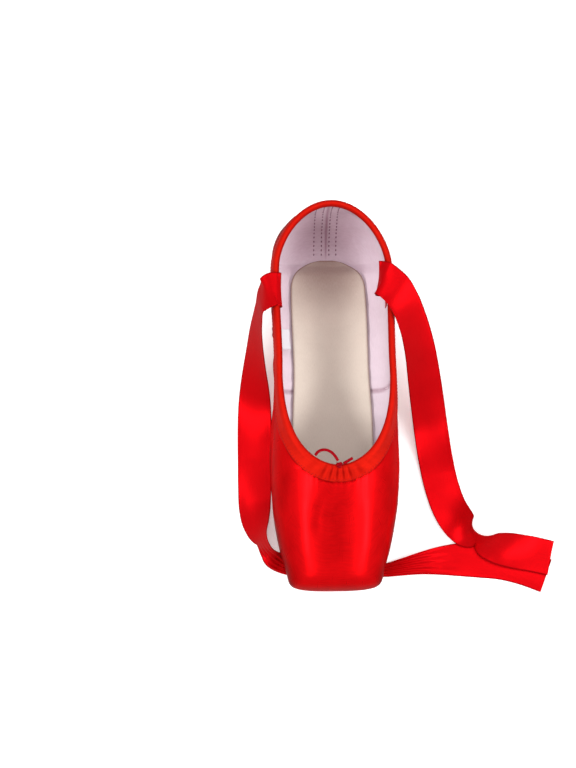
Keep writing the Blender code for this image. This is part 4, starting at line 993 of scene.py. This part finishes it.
def seat_rows(side, seat, over_tape):
    """Where a ribbon is sewn: its middle up the inside of the wall and, if asked, over the tape."""
    station = LENGTH / 2 - seat
    near = min(1.0 + (station - TOE_PIVOT) / (HEEL_PIVOT - TOE_PIVOT), RIBBON_FAN_SHARE)
    two = np.array([near, near + 0.04])
    lift_angles = wall_angles(two)
    lengths = walked(on_last(two[:, None], lift_angles))
    clear = GAP + TAPE_THICKNESS + PART_RIBBON / 2 + RIBBON_CLEARANCE
    depths = RIBBON_SEWN * np.array([1.0, 0.75, 0.5, 0.25, 0.0])

    def at(depth):
        return on_last(two[:, None], read_rows(lengths[:, -1:] - depth[None, :], lengths, lift_angles))

    point, out = at(depths), outward(at(depths))
    up = at(np.array([0.0])) - at(np.array([0.0004]))
    up = up[0, 0] / np.linalg.norm(up[0, 0])
    along = (point[1, -1] - point[0, -1]) / np.linalg.norm(point[1, -1] - point[0, -1])
    edge, edge_out = point[0, -1], out[0, -1]
    rows = list(point[0] + out[0] * (-WALL - clear))
    if over_tape:
        rows += [edge + up * clear * 0.8 - edge_out * (WALL + clear) * 0.75,
                 edge + up * (clear + GAP) - edge_out * WALL / 2,
                 edge + up * clear * 0.8 + edge_out * clear * 0.9]
    else:
        rows = rows[:3]
    return np.array([np.concatenate((row, along, [1.0])) for row in rows]) * np.array([side, 1, 1, side, 1, 1, 1])


def ribbon_grid(rows, count, curl, ripple):
    """A strip: rows across a route, lifted by curl s^2 and by slow ripples, with thicker edges. Where
    it is gathered to a share of its width it stands in lengthwise folds, fold sin(k s).
    Returns its grid and middle line; s goes from -1 to 1 across it."""
    route = smooth_route(rows, count)
    middle, across, width = route[:, :3].copy(), route[:, 3:6], np.clip(route[:, 6:], 0.0, 1.0)
    way = np.gradient(middle, axis=0)
    way /= np.linalg.norm(way, axis=1, keepdims=True)
    across = across - np.sum(across * way, axis=1, keepdims=True) * way
    span = across / np.linalg.norm(across, axis=1, keepdims=True) * width * RIBBON_WIDTH / 2
    face = np.cross(way, span)
    face /= np.linalg.norm(face, axis=1, keepdims=True)
    s = np.linspace(-1.0, 1.0, 33)
    length = walked(middle[None])[0]
    free = ease((length - 0.030) / 0.02)
    shape = curl * s[None, :] ** 2 + ripple * np.sin(length * 62)[:, None] * np.sin(2.2 * s + 0.4)[None, :]
    fold = 0.00075 * ease((1.0 - width) / 0.6)
    shape = shape + fold * (1.0 + np.sin(14.0 * s[None, :] + 3.0 * np.sin(length[:, None] * 30)))
    sheet = middle[:, None, :] + span[:, None, :] * s[None, :, None] + face[:, None, :] * (shape * free[:, None])[..., None]
    half = RIBBON_THICKNESS / 2 * (1.0 + 0.5 * np.exp(-(((np.abs(s) - 0.95) / 0.05) ** 2)))[None, :, None]
    near, far = sheet - face[:, None, :] * half, sheet + face[:, None, :] * half
    grid = np.concatenate((near, far[:, ::-1]), axis=1)
    below = np.maximum(0.00012 - grid[..., 2].min(axis=1), 0.0)
    return grid + below[:, None, None] * np.array([0.0, 0.0, 1.0]), middle, s


ribbon_satin = cloth("ribbon_satin", (0.520, 0.0022, 0.0045), (0.160, 0.0004, 0.0010), roughness=0.36,
                     threads=(0.0003, 0.0004), streak=30, bump=0.00002, lustre=0.40, gloss=0.12,
                     tint=(0.45, 0.01, 0.01), mottle=0.08)
UNITS = np.array([0.001, 0.001, 0.001, 1.0, 1.0, 1.0, 1.0])
for name, node, side, seat, table, over_tape, count, curl, ripple in (
    ("satin_ribbon_left", "ribbon_left", -1, 0.0560, LEFT_ROUTE, True, 420, 0.0004, 0.0004),
    ("satin_ribbon_right", "ribbon_right", 1, 0.0514, RIGHT_ROUTE, False, 320, 0.0004, 0.0004),
):
    rows = np.concatenate((seat_rows(side, seat, over_tape), table * UNITS))
    grid, middle, s = ribbon_grid(rows, count, curl, ripple)
    piece = make_piece(name, grid, tube=True, finish=ribbon_satin, ends=True)
    edge = 0.55 * np.exp(-(((np.abs(s) - 1.0) / 0.05) ** 2))
    mark(piece, "shade", np.repeat(np.concatenate((edge, edge))[None, :], count, axis=0))
    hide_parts(node)
    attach(piece, "root")

# The studio: a white floor and two wide soft lights, left and right of the shoe, as for a
# catalogue. The camera looks down on the shoe from in front of its toe.
floor_mesh = bpy.data.meshes.new("floor")
floor_mesh.from_pydata([(-9, -9, 0), (9, -9, 0), (9, 9, 0), (-9, 9, 0)], [], [(0, 1, 2, 3)])
floor = bpy.data.objects.new("floor", floor_mesh)
bpy.context.scene.collection.objects.link(floor)
floor_finish = bpy.data.materials.new("white_paper")
floor_finish.use_nodes = True
paper = floor_finish.node_tree.nodes["Principled BSDF"]
paper.inputs["Base Color"].default_value = (0.86, 0.85, 0.85, 1.0)
paper.inputs["Roughness"].default_value = 0.9
paper.inputs["Emission Color"].default_value = (1.0, 1.0, 1.0, 1.0)
paper.inputs["Emission Strength"].default_value = 0.38
floor_mesh.materials.append(floor_finish)
floor.visible_glossy = False

world = bpy.data.worlds.new("studio")
world.use_nodes = True
world.node_tree.nodes["Background"].inputs["Color"].default_value = (1.0, 1.0, 1.0, 1.0)
world.node_tree.nodes["Background"].inputs["Strength"].default_value = 0.40
bpy.context.scene.world = world
scene = bpy.context.scene
scene.view_settings.view_transform = "Standard"


def soft_light(name, place, target, size, power):
    """A square light that faces a point."""
    lamp = bpy.data.lights.new(name, "AREA")
    lamp.shape = "RECTANGLE"
    lamp.size, lamp.size_y = size
    lamp.energy = power
    made = bpy.data.objects.new(name, lamp)
    toward = np.array(target) - np.array(place)
    made.location = place
    made.rotation_mode = "QUATERNION"
    made.rotation_quaternion = Vector(toward).to_track_quat("-Z", "Y")
    scene.collection.objects.link(made)
    return made


soft_light("light_left", (-0.84, -0.34, 0.92), (0.0, -0.02, 0.03), (1.5, 0.18), 14.0)
soft_light("light_right", (0.84, -0.34, 0.92), (0.0, -0.02, 0.03), (1.5, 0.18), 14.0)
soft_light("light_above", (0.0, 0.30, 1.25), (0.0, 0.02, 0.03), (0.9, 0.7), 7.0)

ELEVATION = math.radians(80.05)
SIDEWAYS = math.radians(3.5)
LEAN = math.radians(-1.21)
DISTANCE = 2.0
FIELD_HEIGHT = 768 * 0.000622
TARGET = np.array([-0.0275, 0.0083, 0.030])
back = np.array([-math.sin(SIDEWAYS) * math.sin(ELEVATION), -math.cos(ELEVATION),
                 math.cos(SIDEWAYS) * math.sin(ELEVATION)])
back /= np.linalg.norm(back)
right = np.cross(-back, (0.0, 1.0, 0.0))
right /= np.linalg.norm(right)
above = np.cross(right, -back)
right, above = (math.cos(LEAN) * right + math.sin(LEAN) * above, math.cos(LEAN) * above - math.sin(LEAN) * right)
lens = bpy.data.cameras.new("camera")
lens.lens = 36.0 / 2 / (FIELD_HEIGHT / 2 / DISTANCE)
lens.sensor_width = 36.0
camera = bpy.data.objects.new("camera", lens)
scene.collection.objects.link(camera)
scene.camera = camera
turn = np.eye(4)
turn[:3, 0], turn[:3, 1], turn[:3, 2], turn[:3, 3] = right, above, back, TARGET + back * DISTANCE
camera.matrix_world = Matrix(turn.tolist())
